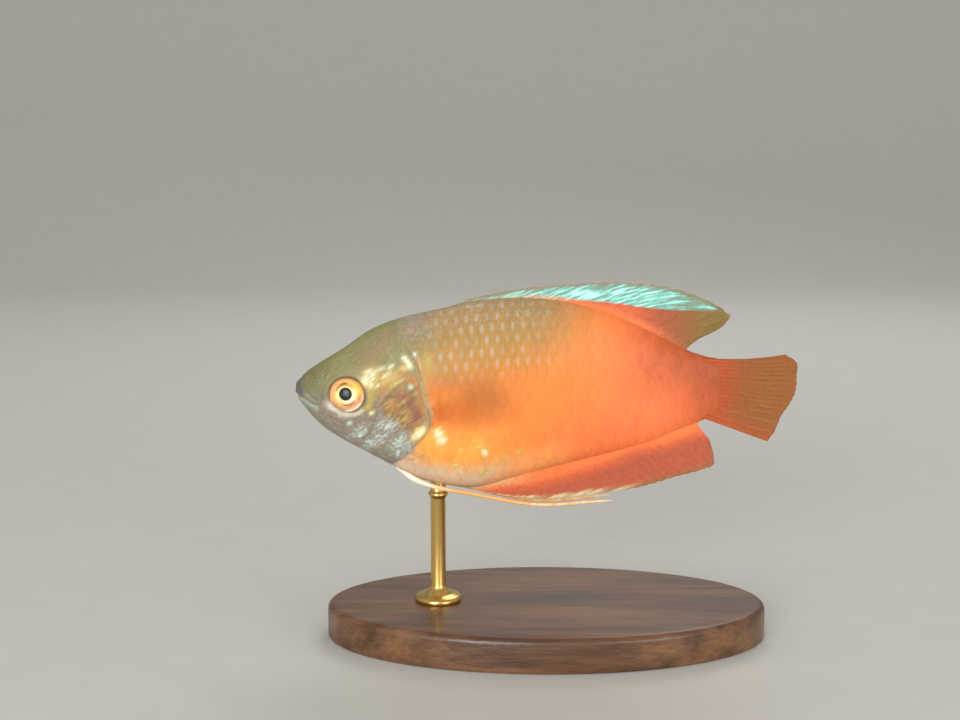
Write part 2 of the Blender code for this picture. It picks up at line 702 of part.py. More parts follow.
def main():
    clear_scene()
    fish = collection_named("dwarf_gourami")
    cutters = collection_named("cutters")
    clearance = body_loft("clearance", cutters, grow=GAP)
    build_head(fish, cutters)
    build_jaw(fish, cutters)
    build_trunk(fish, cutters)
    build_rod(fish, clearance)
    build_base(fish)
    fins = [build_dorsal_fin(fish), build_anal_fin(fish), build_tail_fin(fish)]
    for side in (-1, 1):
        build_gill_cover(side, fish, cutters)
        eye_ball(sided("eye", side), side, fish, "gold_eye")
        fins += [build_pectoral_fin(side, fish), build_pelvic_fin(side, fish)]
    for made in fins:
        boolean(made, "DIFFERENCE", clearance)


main()
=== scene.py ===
import math

import bpy
import numpy as np
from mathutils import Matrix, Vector


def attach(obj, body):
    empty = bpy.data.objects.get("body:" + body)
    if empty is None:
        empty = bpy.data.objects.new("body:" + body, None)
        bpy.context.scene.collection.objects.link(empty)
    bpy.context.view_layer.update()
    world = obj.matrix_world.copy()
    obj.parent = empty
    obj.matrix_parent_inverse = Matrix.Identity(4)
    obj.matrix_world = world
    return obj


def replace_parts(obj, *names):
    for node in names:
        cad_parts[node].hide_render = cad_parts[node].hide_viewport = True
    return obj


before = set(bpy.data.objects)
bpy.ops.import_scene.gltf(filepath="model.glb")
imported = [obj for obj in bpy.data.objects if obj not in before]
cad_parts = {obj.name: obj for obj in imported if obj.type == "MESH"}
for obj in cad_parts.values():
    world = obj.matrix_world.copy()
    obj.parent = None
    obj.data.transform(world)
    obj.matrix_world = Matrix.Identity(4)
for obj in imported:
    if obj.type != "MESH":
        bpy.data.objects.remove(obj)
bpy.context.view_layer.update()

# A life-size museum model of a red-orange male dwarf gourami, on a brass rod over an oval walnut base.
# The fish is shaped in its own millimetres: reach runs back from the tip of the snout, height up from it,
# and out sideways from the middle plane, with the left flank at negative out.

MM = 0.001
SNOUT = Vector((-36.0, 0.0, 37.0))
SIDES = {"left": -1, "right": 1}
SEED = 7

# The body from snout to tail root: reach, back, belly, half width, level of the greatest width
STATIONS = np.array(
    [
        (0.0, 0.50, -1.10, 0.70, -0.3),
        (0.5, 1.05, -2.30, 1.15, -0.5),
        (1.4, 1.95, -3.60, 1.70, -0.7),
        (3.3, 3.25, -5.70, 2.45, -1.0),
        (6.7, 5.35, -8.00, 3.35, -1.0),
        (10.4, 7.90, -9.95, 4.15, -1.0),
        (13.8, 9.40, -11.90, 4.75, -1.0),
        (19.6, 10.85, -14.30, 5.15, -0.6),
        (25.0, 11.90, -14.90, 5.15, 0.0),
        (31.8, 12.45, -13.20, 4.80, 0.6),
        (38.0, 12.00, -11.60, 4.20, 0.9),
        (45.0, 10.20, -9.80, 3.30, 0.8),
        (51.0, 7.60, -8.10, 2.40, 0.3),
        (56.0, 5.10, -6.00, 1.70, -0.3),
        (59.5, 4.00, -4.90, 1.25, -0.4),
    ]
)
FLANK_FULLNESS = 2.1
BODY_END = 59.5
SNOUT_CAP, TAIL_CAP = 0.2, 1.6
TAIL_THINNING, TAIL_EDGE_HALF = 3.0, 0.42

# The skin's own mesh
SKIN_TURNS = 360
HEAD_END, HEAD_RINGS, TRUNK_RINGS = 19.5, 165, 100
COAT_DEPTH = 0.1
COAT_START, COAT_FULL = 9.0, 16.5

# The camera: a side view from slightly above, which shows PICTURE_WIDTH of the middle plane
FOCAL, SENSOR = 55.0, 36.0
PICTURE_WIDTH = 137.95
CAMERA_ELEVATION = math.radians(8)
AIM_REACH, AIM_HEIGHT = 26.3, 3.6
CAMERA_DISTANCE = PICTURE_WIDTH * FOCAL / SENSOR
CAMERA_OUT = CAMERA_DISTANCE * math.cos(CAMERA_ELEVATION)
CAMERA_HEIGHT = AIM_HEIGHT + CAMERA_DISTANCE * math.sin(CAMERA_ELEVATION)

# Sizes of the head's parts, in millimetres
EYE_REACH, EYE_LEVEL, EYE_OUT = 7.44, -1.04, 2.62
EYE_TURN, EYE_TILT = math.radians(9), math.radians(5)
EYE_RADIUS, EYE_HALF_DEPTH = 2.68, 1.7
SOCKET_FOOT, SOCKET_LIP, LID_RADIUS, LID_WIDTH, LID_RISE = 2.46, 2.72, 2.94, 0.26, 0.07
SOCKET_STRETCH, SOCKET_REACH = 1.05, 4.2
SOCKET_SUNK, SOCKET_DEPTH, SOCKET_WALL = 0.12, 1.3, 0.5
NOSTRILS = ((2.6, 1.35, 0.20), (4.2, 1.75, 0.25))

# Lines on the head, as (reach, height) where they show against the middle plane from the camera's side
MOUTH = [(-0.8, -1.15), (0.0, -1.42), (0.85, -1.8), (1.9, -2.6), (3.0, -3.2)]
LIP_CREASE = [(0.45, 1.5), (0.75, 0.3), (1.15, -0.9), (2.0, -1.95), (3.1, -2.7)]
JAW_CREASE = [(0.9, -2.9), (1.8, -3.6), (2.9, -4.25), (3.8, -4.3)]
JAW_BONE = [(3.9, -4.2), (5.2, -6.0), (7.1, -7.6), (9.5, -9.1)]
CHEEK_EDGE = [(3.6, -3.0), (4.7, -4.7), (6.6, -5.6), (8.6, -5.6), (10.1, -4.5), (10.6, -2.6)]
GILL_COVER_FRONT = [(13.2, 3.6), (11.8, 0.4), (11.2, -3.2), (11.1, -5.5), (9.8, -7.7), (7.2, -8.1)]
GILL_OPENING = [
    (13.8, 8.6), (15.5, 5.9), (17.2, 3.0), (18.1, 0.0), (18.9, -2.6), (19.5, -5.0), (18.8, -6.9),
    (17.2, -8.8), (15.1, -10.9), (12.8, -12.2),
]
LOWER_COVER_SEAM = [(11.8, -6.9), (14.2, -8.4), (17.0, -8.5)]
THROAT_FOLDS = [
    [(8.2, -9.2), (11.0, -10.4), (13.6, -10.8)],
    [(8.6, -9.8), (11.2, -11.1), (13.2, -11.6)],
]

# Fins: key rays as share along the fin, base reach (or height), tip reach, tip height
DORSAL_KEYS = [
    (0.0, 22.4, 24.6, 12.4), (0.15, 27.5, 31.2, 13.7), (0.35, 34.0, 39.2, 14.5), (0.55, 40.5, 47.0, 14.7),
    (0.7, 45.5, 53.2, 14.1), (0.8, 49.0, 58.0, 12.6), (0.88, 51.8, 61.3, 10.8), (0.92, 53.0, 62.2, 9.8),
    (0.96, 54.3, 60.8, 8.2), (1.0, 55.4, 57.8, 6.7),
]
ANAL_KEYS = [
    (0.0, 24.2, 26.4, -15.7), (0.12, 28.0, 31.0, -16.5), (0.3, 33.5, 37.0, -16.75),
    (0.45, 38.0, 43.0, -16.1), (0.6, 43.0, 49.2, -15.1), (0.75, 48.0, 54.6, -13.5),
    (0.87, 52.0, 58.8, -12.3), (0.93, 54.5, 60.2, -11.5), (0.97, 56.0, 60.0, -9.7),
    (1.0, 57.3, 59.4, -7.9),
]
TAIL_KEYS = [
    (0.0, 3.9, 70.2, 4.4), (0.08, 3.3, 71.5, 3.6), (0.3, 1.5, 72.0, 1.4), (0.5, 0.0, 71.9, -1.2),
    (0.7, -1.7, 70.9, -3.3), (0.84, -2.9, 69.8, -5.0), (0.93, -4.1, 69.0, -7.0), (1.0, -4.8, 68.0, -8.4),
]
PECTORAL_KEYS = [
    (0.0, -2.0, 27.6, 2.7), (0.2, -2.6, 31.0, 2.2), (0.4, -3.2, 32.8, 0.4), (0.65, -4.0, 31.7, -2.3),
    (0.88, -4.8, 28.2, -4.7), (1.0, -5.2, 25.4, -5.8),
]
TAIL_REACH, PECTORAL_REACH = 58.4, 19.5
PECTORAL_SPREAD = math.tan(math.radians(17))

# The thread-like pelvic fins: reach, height, distance out, radius
FEELER = [
    (14.9, -12.2, 0.9, 0.42), (16.6, -13.45, 1.35, 0.42), (19.0, -14.35, 1.95, 0.34),
    (22.0, -15.0, 2.25, 0.3), (25.0, -15.55, 2.1, 0.28), (28.0, -16.25, 1.75, 0.27),
    (31.0, -16.9, 1.45, 0.26), (34.5, -17.35, 1.35, 0.26), (38.0, -17.3, 1.35, 0.25),
    (42.0, -16.9, 1.55, 0.22), (45.5, -16.6, 1.8, 0.12),
]

# The stand
BASE_LENGTH, BASE_WIDTH, BASE_THICKNESS, BASE_EDGE = 64.0, 36.0, 5.0, 0.9
ROD_REACH, ROD_RADIUS, FOOT_RADIUS = 20.2, 1.1, 3.4

# Curves and smooth steps

CURVE_STEPS = 14


def smooth_through(knots, values, at):
    """The values at places between knots, along a curve that passes smoothly through them all."""
    knots = np.asarray(knots, float)
    values = np.asarray(values, float)
    steps = np.diff(knots)
    rises = np.diff(values, axis=0) / (steps if values.ndim == 1 else steps[:, None])
    weigh = steps if values.ndim == 1 else steps[:, None]
    slopes = np.empty_like(values)
    slopes[1:-1] = (rises[:-1] * weigh[1:] + rises[1:] * weigh[:-1]) / (weigh[1:] + weigh[:-1])
    slopes[0], slopes[-1] = rises[0], rises[-1]
    at = np.clip(np.asarray(at, float), knots[0], knots[-1])
    i = np.clip(np.searchsorted(knots, at, side="right") - 1, 0, len(knots) - 2)
    t = (at - knots[i]) / steps[i]
    step = steps[i]
    if values.ndim > 1:
        t, step = t[..., None], step[..., None]
    kept = values[i] * (1 + 2 * t) * (1 - t) ** 2 + slopes[i] * step * t * (1 - t) ** 2
    return kept + values[i + 1] * t * t * (3 - 2 * t) + slopes[i + 1] * step * t * t * (t - 1)


def rise_between(low, high, value):
    """0 below low, 1 above high, and smooth between them; low may be the larger."""
    t = np.clip((value - low) / (high - low), 0, 1)
    return t * t * (3 - 2 * t)


def hump(distance, width):
    """A smooth hump, 1 in the middle and about a third at one width away."""
    return np.exp(-((distance / width) ** 2))


def finer(points):
    """A smooth curve through a few points, as many close ones."""
    points = np.array(points, float)
    run = np.concatenate([[0], np.cumsum(np.linalg.norm(np.diff(points, axis=0), axis=1))])
    return smooth_through(run, points, np.linspace(0, run[-1], CURVE_STEPS * (len(points) - 1)))


def beside(points, reach, height):
    """The distance from a line seen from the side, positive on its left, and the share along it."""
    line = finer(points)
    distance = np.full(reach.shape, np.inf)
    share = np.zeros(reach.shape)
    for k, (a, b) in enumerate(zip(line[:-1], line[1:])):
        run = b - a
        length = run @ run
        t = np.clip(((reach - a[0]) * run[0] + (height - a[1]) * run[1]) / length, 0, 1)
        dx, dz = reach - a[0] - t * run[0], height - a[1] - t * run[1]
        far = np.hypot(dx, dz)
        nearer = far < np.abs(distance)
        side = np.where(run[0] * dz - run[1] * dx >= 0, 1.0, -1.0)
        distance = np.where(nearer, side * far, distance)
        share = np.where(nearer, (k + t) / (len(line) - 1), share)
    return distance, share


def held_along(share, start, end):
    """1 along the middle of a line and 0 at its ends; with a start of 0 its beginning doesn't fade."""
    begun = rise_between(0, start, share) if start else 1.0
    return begun * rise_between(1, end, share)


def as_seen(reach, height, out):
    """Where a place on a flank shows against the middle plane, seen from the camera's side of it."""
    near = CAMERA_OUT / (CAMERA_OUT - np.abs(out))
    return AIM_REACH + (reach - AIM_REACH) * near, CAMERA_HEIGHT + (height - CAMERA_HEIGHT) * near


# The body's surface

SURFACE_STEP = 0.02


def section(reach):
    """The back, the belly, the half width and its level at a place along the body."""
    columns = smooth_through(STATIONS[:, 0], STATIONS[:, 1:], reach)
    back, belly, half_width, level = np.moveaxis(columns, -1, 0)
    thinning = rise_between(BODY_END - TAIL_THINNING, BODY_END + TAIL_CAP, reach)
    return back, belly, half_width + (TAIL_EDGE_HALF - half_width) * thinning, level


def closing(reach):
    """How far the rings have closed past the ends of the body, where it is rounded off."""
    before = np.clip(-reach / SNOUT_CAP, 0, 1)
    after = np.clip((reach - BODY_END) / TAIL_CAP, 0, 1)
    return np.sqrt(np.clip(1 - before**2, 0, 1)) * np.sqrt(np.clip(1 - after**4, 0, 1))


def body_point(reach, turn):
    """A point of the smooth body; turn starts at the right flank and rises over the back."""
    back, belly, half_width, level = section(reach)
    power = 2 / FLANK_FULLNESS
    side, rise = np.cos(turn), np.sin(turn)
    span = np.where(rise > 0, back - level, level - belly) * closing(reach)
    out = np.sign(side) * np.abs(side) ** power * half_width * closing(reach)
    height = level + np.sign(rise) * np.abs(rise) ** power * span
    return np.stack([reach + 0 * turn, out, height], -1)


def flank(reach, height):
    """How far out the smooth body reaches at a height."""
    back, belly, half_width, level = section(reach)
    span = np.where(height > level, back - level, level - belly)
    share = np.clip(np.abs(height - level) / span, 0, 1)
    return half_width * (1 - share**FLANK_FULLNESS) ** (1 / FLANK_FULLNESS)


def body_normal(reach, turn):
    """The outward direction of the smooth body."""
    along = body_point(reach + SURFACE_STEP, turn) - body_point(reach - SURFACE_STEP, turn)
    around = body_point(reach, turn + SURFACE_STEP) - body_point(reach, turn - SURFACE_STEP)
    normal = np.cross(around, along)
    return normal / np.maximum(np.linalg.norm(normal, axis=-1, keepdims=True), 1e-9)


# The head's relief, in millimetres

# Ridges, and grooves where they stand below 0: the line, the shares of the way along it where they have
# risen and where they begin to fade, and each one's stand, half width and place to the line's left
HEAD_RIDGES = [
    (MOUTH, 0, 0.75, [(0.14, 0.28, 0.36), (0.2, 0.3, -0.4), (-0.34, 0.1, 0)]),
    (LIP_CREASE, 0.15, 0.8, [(-0.08, 0.14, 0)]),
    (JAW_CREASE, 0.15, 0.8, [(-0.07, 0.15, 0)]),
    (JAW_BONE, 0.15, 0.7, [(0.06, 0.3, -0.3), (-0.06, 0.14, 0)]),
    (CHEEK_EDGE, 0.1, 0.9, [(-0.09, 0.15, -0.1)]),
    (GILL_COVER_FRONT, 0.12, 0.85, [(0.11, 0.3, -0.3), (-0.13, 0.15, 0)]),
    (LOWER_COVER_SEAM, 0.15, 0.85, [(-0.08, 0.14, 0)]),
    (THROAT_FOLDS[0], 0.2, 0.8, [(0.09, 0.2, 0)]),
    (THROAT_FOLDS[1], 0.2, 0.8, [(0.09, 0.2, 0)]),
]
MOUTH_CORNER_DEPTH, MOUTH_CORNER_SIZE = 0.1, 0.35
NOSTRIL_RIM, NOSTRIL_DEPTH = 0.03, 0.22
CHEEK_STAND = 0.05
# Rows of pores: line, shares of the way along it, size, and how far the row is shifted back and up
PORES = [
    (CHEEK_EDGE, (0.15, 0.35, 0.55, 0.75), 0.13, 0, 0.35),
    (GILL_COVER_FRONT, (0.3, 0.45, 0.6, 0.75, 0.9), 0.14, -0.45, 0),
]
PORE_DEPTH = 0.1
COVER_STAND, COVER_DROP, COVER_SKIN_EDGE = 0.16, 0.14, 0.08
# The fleshy roots of the paired fins: reach, height, half length, half height and stand, and the shares of
# their half sizes at which they end and are full
FIN_ROOTS = [
    (19.75, -3.6, 0.75, 1.95, 0.34, 1.25, 0.55),
    (15.3, -12.4, 1.5, 0.8, 0.2, 1.3, 0.4),
]
FIN_CREST, FIN_CREST_WIDTH = 0.3, 0.55


def head_ridges(reach, height):
    """The lips and the cleft between them, the edges of the head's plates, and the folds of the throat."""
    made = np.zeros(reach.shape)
    for line, start, end, ridges in HEAD_RIDGES:
        off, share = beside(line, reach, height)
        stood = sum(stand * hump(off - shift, width) for stand, width, shift in ridges)
        made += stood * held_along(share, start, end)
    corner = np.hypot(reach - MOUTH[-1][0], height - MOUTH[-1][1])
    return made - MOUTH_CORNER_DEPTH * hump(corner, MOUTH_CORNER_SIZE)


def pits_along(points, shares, radius, reach, height):
    """Small round pits at some shares along a line."""
    line = finer(points)
    depth = np.zeros(reach.shape)
    for share in shares:
        x, z = line[int(share * (len(line) - 1))]
        depth = depth + hump(np.hypot(reach - x, height - z), radius)
    return depth


def pores(reach, height):
    """The pores that follow the edges of the cheek and of the gill cover's front plate."""
    depths = [
        pits_along(line, shares, size, reach - back, height - up)
        for line, shares, size, back, up in PORES
    ]
    return -PORE_DEPTH * sum(depths)


def nostrils(reach, height):
    """Two nostrils on each side of the snout, each a pit with a raised rim."""
    made = np.zeros(reach.shape)
    for x, z, radius in NOSTRILS:
        off = np.hypot(reach - x, height - z)
        made += NOSTRIL_RIM * hump(off - radius * 1.3, radius * 0.6)
        made -= NOSTRIL_DEPTH * hump(off, radius * 0.55)
    return made


def cheek_plate(reach, height):
    """The plate below the eye, which stands a little over the skin below it."""
    off, share = beside(CHEEK_EDGE, reach, height)
    plate = rise_between(-0.5, 0.0, off) * rise_between(1.6, 0.2, off)
    return CHEEK_STAND * plate * held_along(share, 0.1, 0.9)


def gill_cover(reach, height):
    """The gill cover: a plate that swells to its free rear edge and drops there to the shoulder."""
    off, share = beside(GILL_OPENING, reach, height)
    before = -off
    plate = rise_between(1.9, 0.15, before) * rise_between(-0.06, 0.1, before)
    hollow = rise_between(0.1, -0.08, before) * rise_between(-1.1, -0.1, before)
    made = COVER_STAND * plate - COVER_DROP * hollow - COVER_SKIN_EDGE * hump(before - 0.75, 0.14)
    return made * rise_between(0.12, 0.34, share) * rise_between(1.0, 0.8, share)


def fin_roots(reach, height, out):
    """The fleshy roots of the paired fins, and the ridges that carry the long fins of back and belly."""
    made = np.zeros(reach.shape)
    for x, z, half_long, half_tall, stand, ends, full in FIN_ROOTS:
        off = np.hypot((reach - x) / half_long, (height - z) / half_tall)
        made += stand * rise_between(ends, full, off)
    dorsal = rise_between(21.5, 24.5, reach) * rise_between(57.0, 54.0, reach) * (height > 0)
    anal = rise_between(23.5, 26.0, reach) * rise_between(59.0, 56.5, reach) * (height < 0)
    return made + FIN_CREST * hump(out, FIN_CREST_WIDTH) * (dorsal + anal)


def relief(reach, height, out):
    """How far the skin stands over the smooth body, in millimetres."""
    made = fin_roots(reach, height, out)
    head = reach < HEAD_END + 3
    made[head] += nostrils(reach[head], height[head])
    x, z = as_seen(reach[head], height[head], out[head])
    made[head] += head_ridges(x, z) + pores(x, z) + cheek_plate(x, z) + gill_cover(x, z)
    return made


def eye_axis(side):
    """The middle of an eye and the direction that it faces."""
    level = math.cos(EYE_TILT)
    ahead, outward = -math.sin(EYE_TURN) * level, side * math.cos(EYE_TURN) * level
    facing = np.array([ahead, outward, math.sin(EYE_TILT)])
    return np.array([EYE_REACH, side * EYE_OUT, EYE_LEVEL]), facing


def across_axis(facing):
    """Two directions square to an eye's axis: along the body and upwards."""
    sideways = np.cross((0, 0, 1.0), facing)
    sideways /= np.linalg.norm(sideways)
    return sideways, np.cross(facing, sideways)


def ball_height(radius):
    """How far the eyeball bulges at a distance from its axis."""
    return EYE_HALF_DEPTH * np.sqrt(np.clip(1 - (radius / EYE_RADIUS) ** 2, 0, 1))


def sink_sockets(points):
    """Presses a round socket into each side of the head and rolls its rim up into a low fold."""
    made = points.copy()
    for side in SIDES.values():
        middle, facing = eye_axis(side)
        away = made - middle
        lift = away @ facing
        sideways, upward = across_axis(facing)
        radius = np.hypot(away @ sideways / SOCKET_STRETCH, away @ upward)
        near = (radius < SOCKET_REACH) & (made[:, 1] * side > 0.6)
        r, a = radius[near], lift[near]
        foot = ball_height(SOCKET_FOOT) - SOCKET_SUNK
        floor = foot - SOCKET_DEPTH * rise_between(SOCKET_FOOT, SOCKET_FOOT - SOCKET_WALL, r)
        within = rise_between(SOCKET_LIP, SOCKET_FOOT, r)
        raised = a + LID_RISE * hump(r - LID_RADIUS, LID_WIDTH)
        moved = raised * (1 - within) + floor * within
        made[near] += (moved - a)[:, None] * facing
    return made


def coat_thickness(reach):
    """How deep the skin lies under the scales that cover it."""
    return COAT_DEPTH * rise_between(COAT_START, COAT_FULL, reach) * rise_between(61.0, 58.5, reach)


def skin_point(reach, turn):
    """A point of the finished skin, with its outward direction."""
    base = body_point(reach, turn)
    normal = body_normal(reach, turn)
    stand = relief(reach, base[:, 2], base[:, 1]) - coat_thickness(reach)
    return base + normal * stand[:, None], normal


# Markings, which the skin and the scales share; a few of them are painted shade and painted highlights, as
# said where they stand

# Soft spots: how soft, and each one's reach, height, half length, half height and lean
SPOTS = {
    "fin_lobe": (0.7, [(20.1, -2.7, 1.5, 2.5, 6)]),
    "tan_head": (0.8, [(10.8, 4.0, 3.4, 1.5, 34), (17.3, 5.2, 1.6, 1.6, 0)]),
    "lines": (0.8, [(12.6, 1.2, 3.8, 2.6, 15)]),
    # Painted shade: a dark ring round the eye, deepest below it, where the sunken socket lies in shade
    "socket": (0.12, [(7.13, -1.6, 2.9, 2.85, 0)]),
    "shoulder_shade": (0.9, [(22.4, 0.9, 4.6, 2.4, -8), (26.2, -0.8, 4.4, 2.6, -35)]),
    "mauve": (0.8, [
        (9.2, -5.2, 1.0, 0.6, 10), (12.0, 6.3, 3.2, 1.3, 35), (17.0, 8.6, 3.0, 1.4, 25),
        (5.6, -1.6, 1.4, 1.0, 0), (5.0, -4.6, 1.8, 0.9, -35), (8.4, -8.6, 2.0, 0.8, -30),
        (16.0, -9.9, 2.2, 1.2, -30),
    ]),
    "blush": (0.8, [(4.8, -3.1, 1.2, 0.75, -25), (6.6, -4.5, 1.0, 0.4, -5)]),
    "rust_cover": (0.4, [(14.8, -1.7, 3.1, 3.6, 0), (16.2, -4.2, 2.0, 2.6, 0)]),
    "silver": (1.0, [
        (12.9, -5.9, 2.0, 1.5, 42), (11.4, -8.0, 2.8, 1.0, 32), (14.9, -8.7, 1.9, 1.6, 32),
        (8.9, -6.9, 1.8, 0.8, 28),
    ]),
    "maroon": (0.8, [
        (16.9, -4.6, 1.6, 0.9, 65), (16.4, -2.6, 0.7, 0.9, 0), (15.0, -1.8, 1.1, 0.5, 25),
        (11.9, -0.9, 0.7, 0.4, 30),
    ]),
    "orange_cover": (0.8, [
        (12.4, -0.6, 0.9, 0.45, 20), (16.6, 0.6, 0.8, 0.9, 0), (14.6, 1.2, 1.2, 0.4, 25),
        (13.6, -3.2, 0.9, 0.4, 35), (17.9, -2.6, 2.6, 0.5, -78),
    ]),
    "yellow": (0.8, [
        (10.6, -1.6, 0.75, 1.3, -20), (10.2, -2.9, 0.9, 0.55, 45), (10.7, -4.05, 0.6, 0.35, 30),
        (9.3, -3.6, 0.9, 0.3, 35), (18.9, 3.2, 0.6, 1.6, 15),
    ]),
    # Pale mint patches of the skin's own colour on the head, and painted glints: the three small marks along
    # the back by the dorsal fin's root are painted glints of light off the scales
    "mint_and_glints": (0.8, [
        (7.45, -5.65, 0.42, 0.27, 10), (12.92, -6.1, 0.4, 0.2, 30), (10.16, -8.3, 0.4, 0.22, 0),
        (14.5, -8.3, 0.42, 0.22, 10), (14.4, -10.1, 0.2, 0.5, -20), (9.0, -7.4, 0.32, 0.25, 0),
        (16.3, -0.35, 0.4, 0.3, 0), (16.9, 4.4, 0.35, 0.3, 30), (24.4, 11.3, 0.5, 0.16, 15),
        (26.2, 11.5, 0.6, 0.16, 10), (22.8, 10.9, 0.4, 0.14, 20),
    ]),
    "gold": (0.8, [
        (10.9, 0.8, 1.6, 1.6, 30), (12.9, 1.0, 2.0, 1.2, 20), (15.4, 2.4, 1.0, 0.5, 20),
        (14.4, 0.3, 1.4, 0.3, 30), (17.5, -7.1, 1.6, 0.8, 44), (20.5, -7.7, 1.1, 1.5, 20),
        (26.9, -9.8, 0.6, 0.8, 0), (25.9, -9.2, 0.6, 0.3, 0), (27.5, -12.4, 0.8, 0.22, 35),
        (26.6, -13.2, 0.6, 0.22, 12), (30.0, -11.1, 0.9, 0.2, 22), (31.9, -9.8, 0.6, 0.25, 20),
        (22.5, -12.0, 0.9, 0.28, 5), (23.4, -9.6, 0.35, 0.35, 0),
    ]),
    # Partly the skin's own pale flecks and partly painted highlights: the cream-white glints high on the
    # gill cover
    "pale": (0.8, [
        (10.2, 1.95, 0.7, 0.25, 15), (9.9, 0.75, 0.75, 0.55, 60), (10.8, 1.2, 0.85, 0.5, 65),
        (10.6, 0.0, 0.45, 0.35, 60), (11.5, -0.2, 0.5, 0.2, 50), (12.0, 2.3, 0.65, 0.28, 25),
        (12.8, 1.35, 0.7, 0.2, 35), (13.45, 2.6, 0.55, 0.28, 40), (15.6, 3.6, 0.7, 0.4, -45),
        (16.15, 2.8, 0.5, 0.42, -60), (17.5, -7.15, 1.15, 0.4, 44), (20.3, -7.2, 0.45, 0.7, 20),
        (20.7, -8.1, 0.6, 0.55, 0), (27.0, -10.0, 0.3, 0.45, 70), (10.65, -4.15, 0.4, 0.2, 30),
    ]),
}

# Soft bands: the line that each follows, its half width, and how soft
BANDS = {
    "cover_edge": (
        [(16.6, 4.8), (17.7, 3.0), (18.1, 0.8), (18.4, -1.6), (18.7, -3.4), (19.0, -5.2), (18.6, -6.7)],
        0.42,
        0.9,
    ),
    "under_eye": (
        [(4.0, -2.6), (5.0, -3.4), (6.2, -4.1), (7.5, -4.45), (8.9, -4.05), (9.7, -3.3)],
        0.32,
        0.7,
    ),
    "jaw": ([(-0.1, -1.5), (0.68, -2.0), (1.9, -3.05), (3.3, -3.85)], 0.5, 0.7),
    "lip": ([(0.3, 1.3), (0.15, 0.4), (0.2, -0.4), (0.5, -1.0), (1.1, -1.6)], 0.5, 0.6),
}


def spots(places, reach, height, soft):
    """A mask of soft ellipses, half strong on each one's outline."""
    cover = np.zeros(reach.shape)
    for x, z, half_long, half_tall, degrees in places:
        a = math.radians(degrees)
        along = ((reach - x) * math.cos(a) + (height - z) * math.sin(a)) / half_long
        across = ((height - z) * math.cos(a) - (reach - x) * math.sin(a)) / half_tall
        cover = np.maximum(cover, rise_between(1 + soft, 1 - soft, np.hypot(along, across)))
    return cover


def band(points, half_width, reach, height, soft):
    """A soft mask that follows a line."""
    off, share = beside(points, reach, height)
    ends = held_along(share, 0.12, 0.88)
    return rise_between(half_width * (1 + soft), half_width * (1 - soft), np.abs(off)) * ends


def zones(reach, height, out):
    """The broad zones of colour that run into each other."""
    back, belly = section(reach)[:2]
    depth = back - height
    over_belly = height - belly
    x, z = as_seen(reach, height, out)
    behind_cover = beside(GILL_OPENING, x, z)[0]
    nape = rise_between(5.5, 8.0, z)
    head = nape * rise_between(19.0, 15.5, x + 0.3 * z)
    head = head + (1 - nape) * rise_between(0.15, -0.3, behind_cover)
    crown = rise_between(-2.6, 0.4, z - 0.1 * x + 0.4)
    low = rise_between(0.5, 3.5, over_belly)
    near_belly = rise_between(5.5, 1.5, over_belly)
    return {
        "rear_red": rise_between(36, 54, x + 0.9 * np.clip(-z, 0, 12)),
        "rear_shade": rise_between(43, 54, x) * rise_between(-5.0, 3.5, z),
        "stalk": rise_between(50, 62.5, x + 0.3 * z),
        "gold_zone": low * rise_between(36, 25, x) * rise_between(-4.5, -8.5, z),
        "gold_back": rise_between(13.5, 6.0, depth) * rise_between(44, 26, x),
        "olive_back": rise_between(11.5, 4.0, depth) * rise_between(48, 27, x),
        "grey_back": rise_between(6.0, 1.5, depth) * rise_between(47, 27, x),
        "lilac_belly": rise_between(5.0, 1.8, over_belly) * rise_between(34, 25, x),
        "belly_glow": near_belly * rise_between(25, 30, x) * rise_between(43, 34, x),
        "olive_head": head * crown,
        "lilac_head": head * (1 - crown),
        "snout": rise_between(7.0, 1.5, x) * rise_between(-5.0, -1.5, z),
    }


def markings(reach, height, out):
    """The share of each colour at points of the body, by name."""
    x, z = as_seen(reach, height, out)
    made = zones(reach, height, out)
    for name, (soft, places) in SPOTS.items():
        made[name] = spots(places, x, z, soft)
    for name, (line, half_width, soft) in BANDS.items():
        made[name] = band(line, half_width, x, z, soft)
    return made


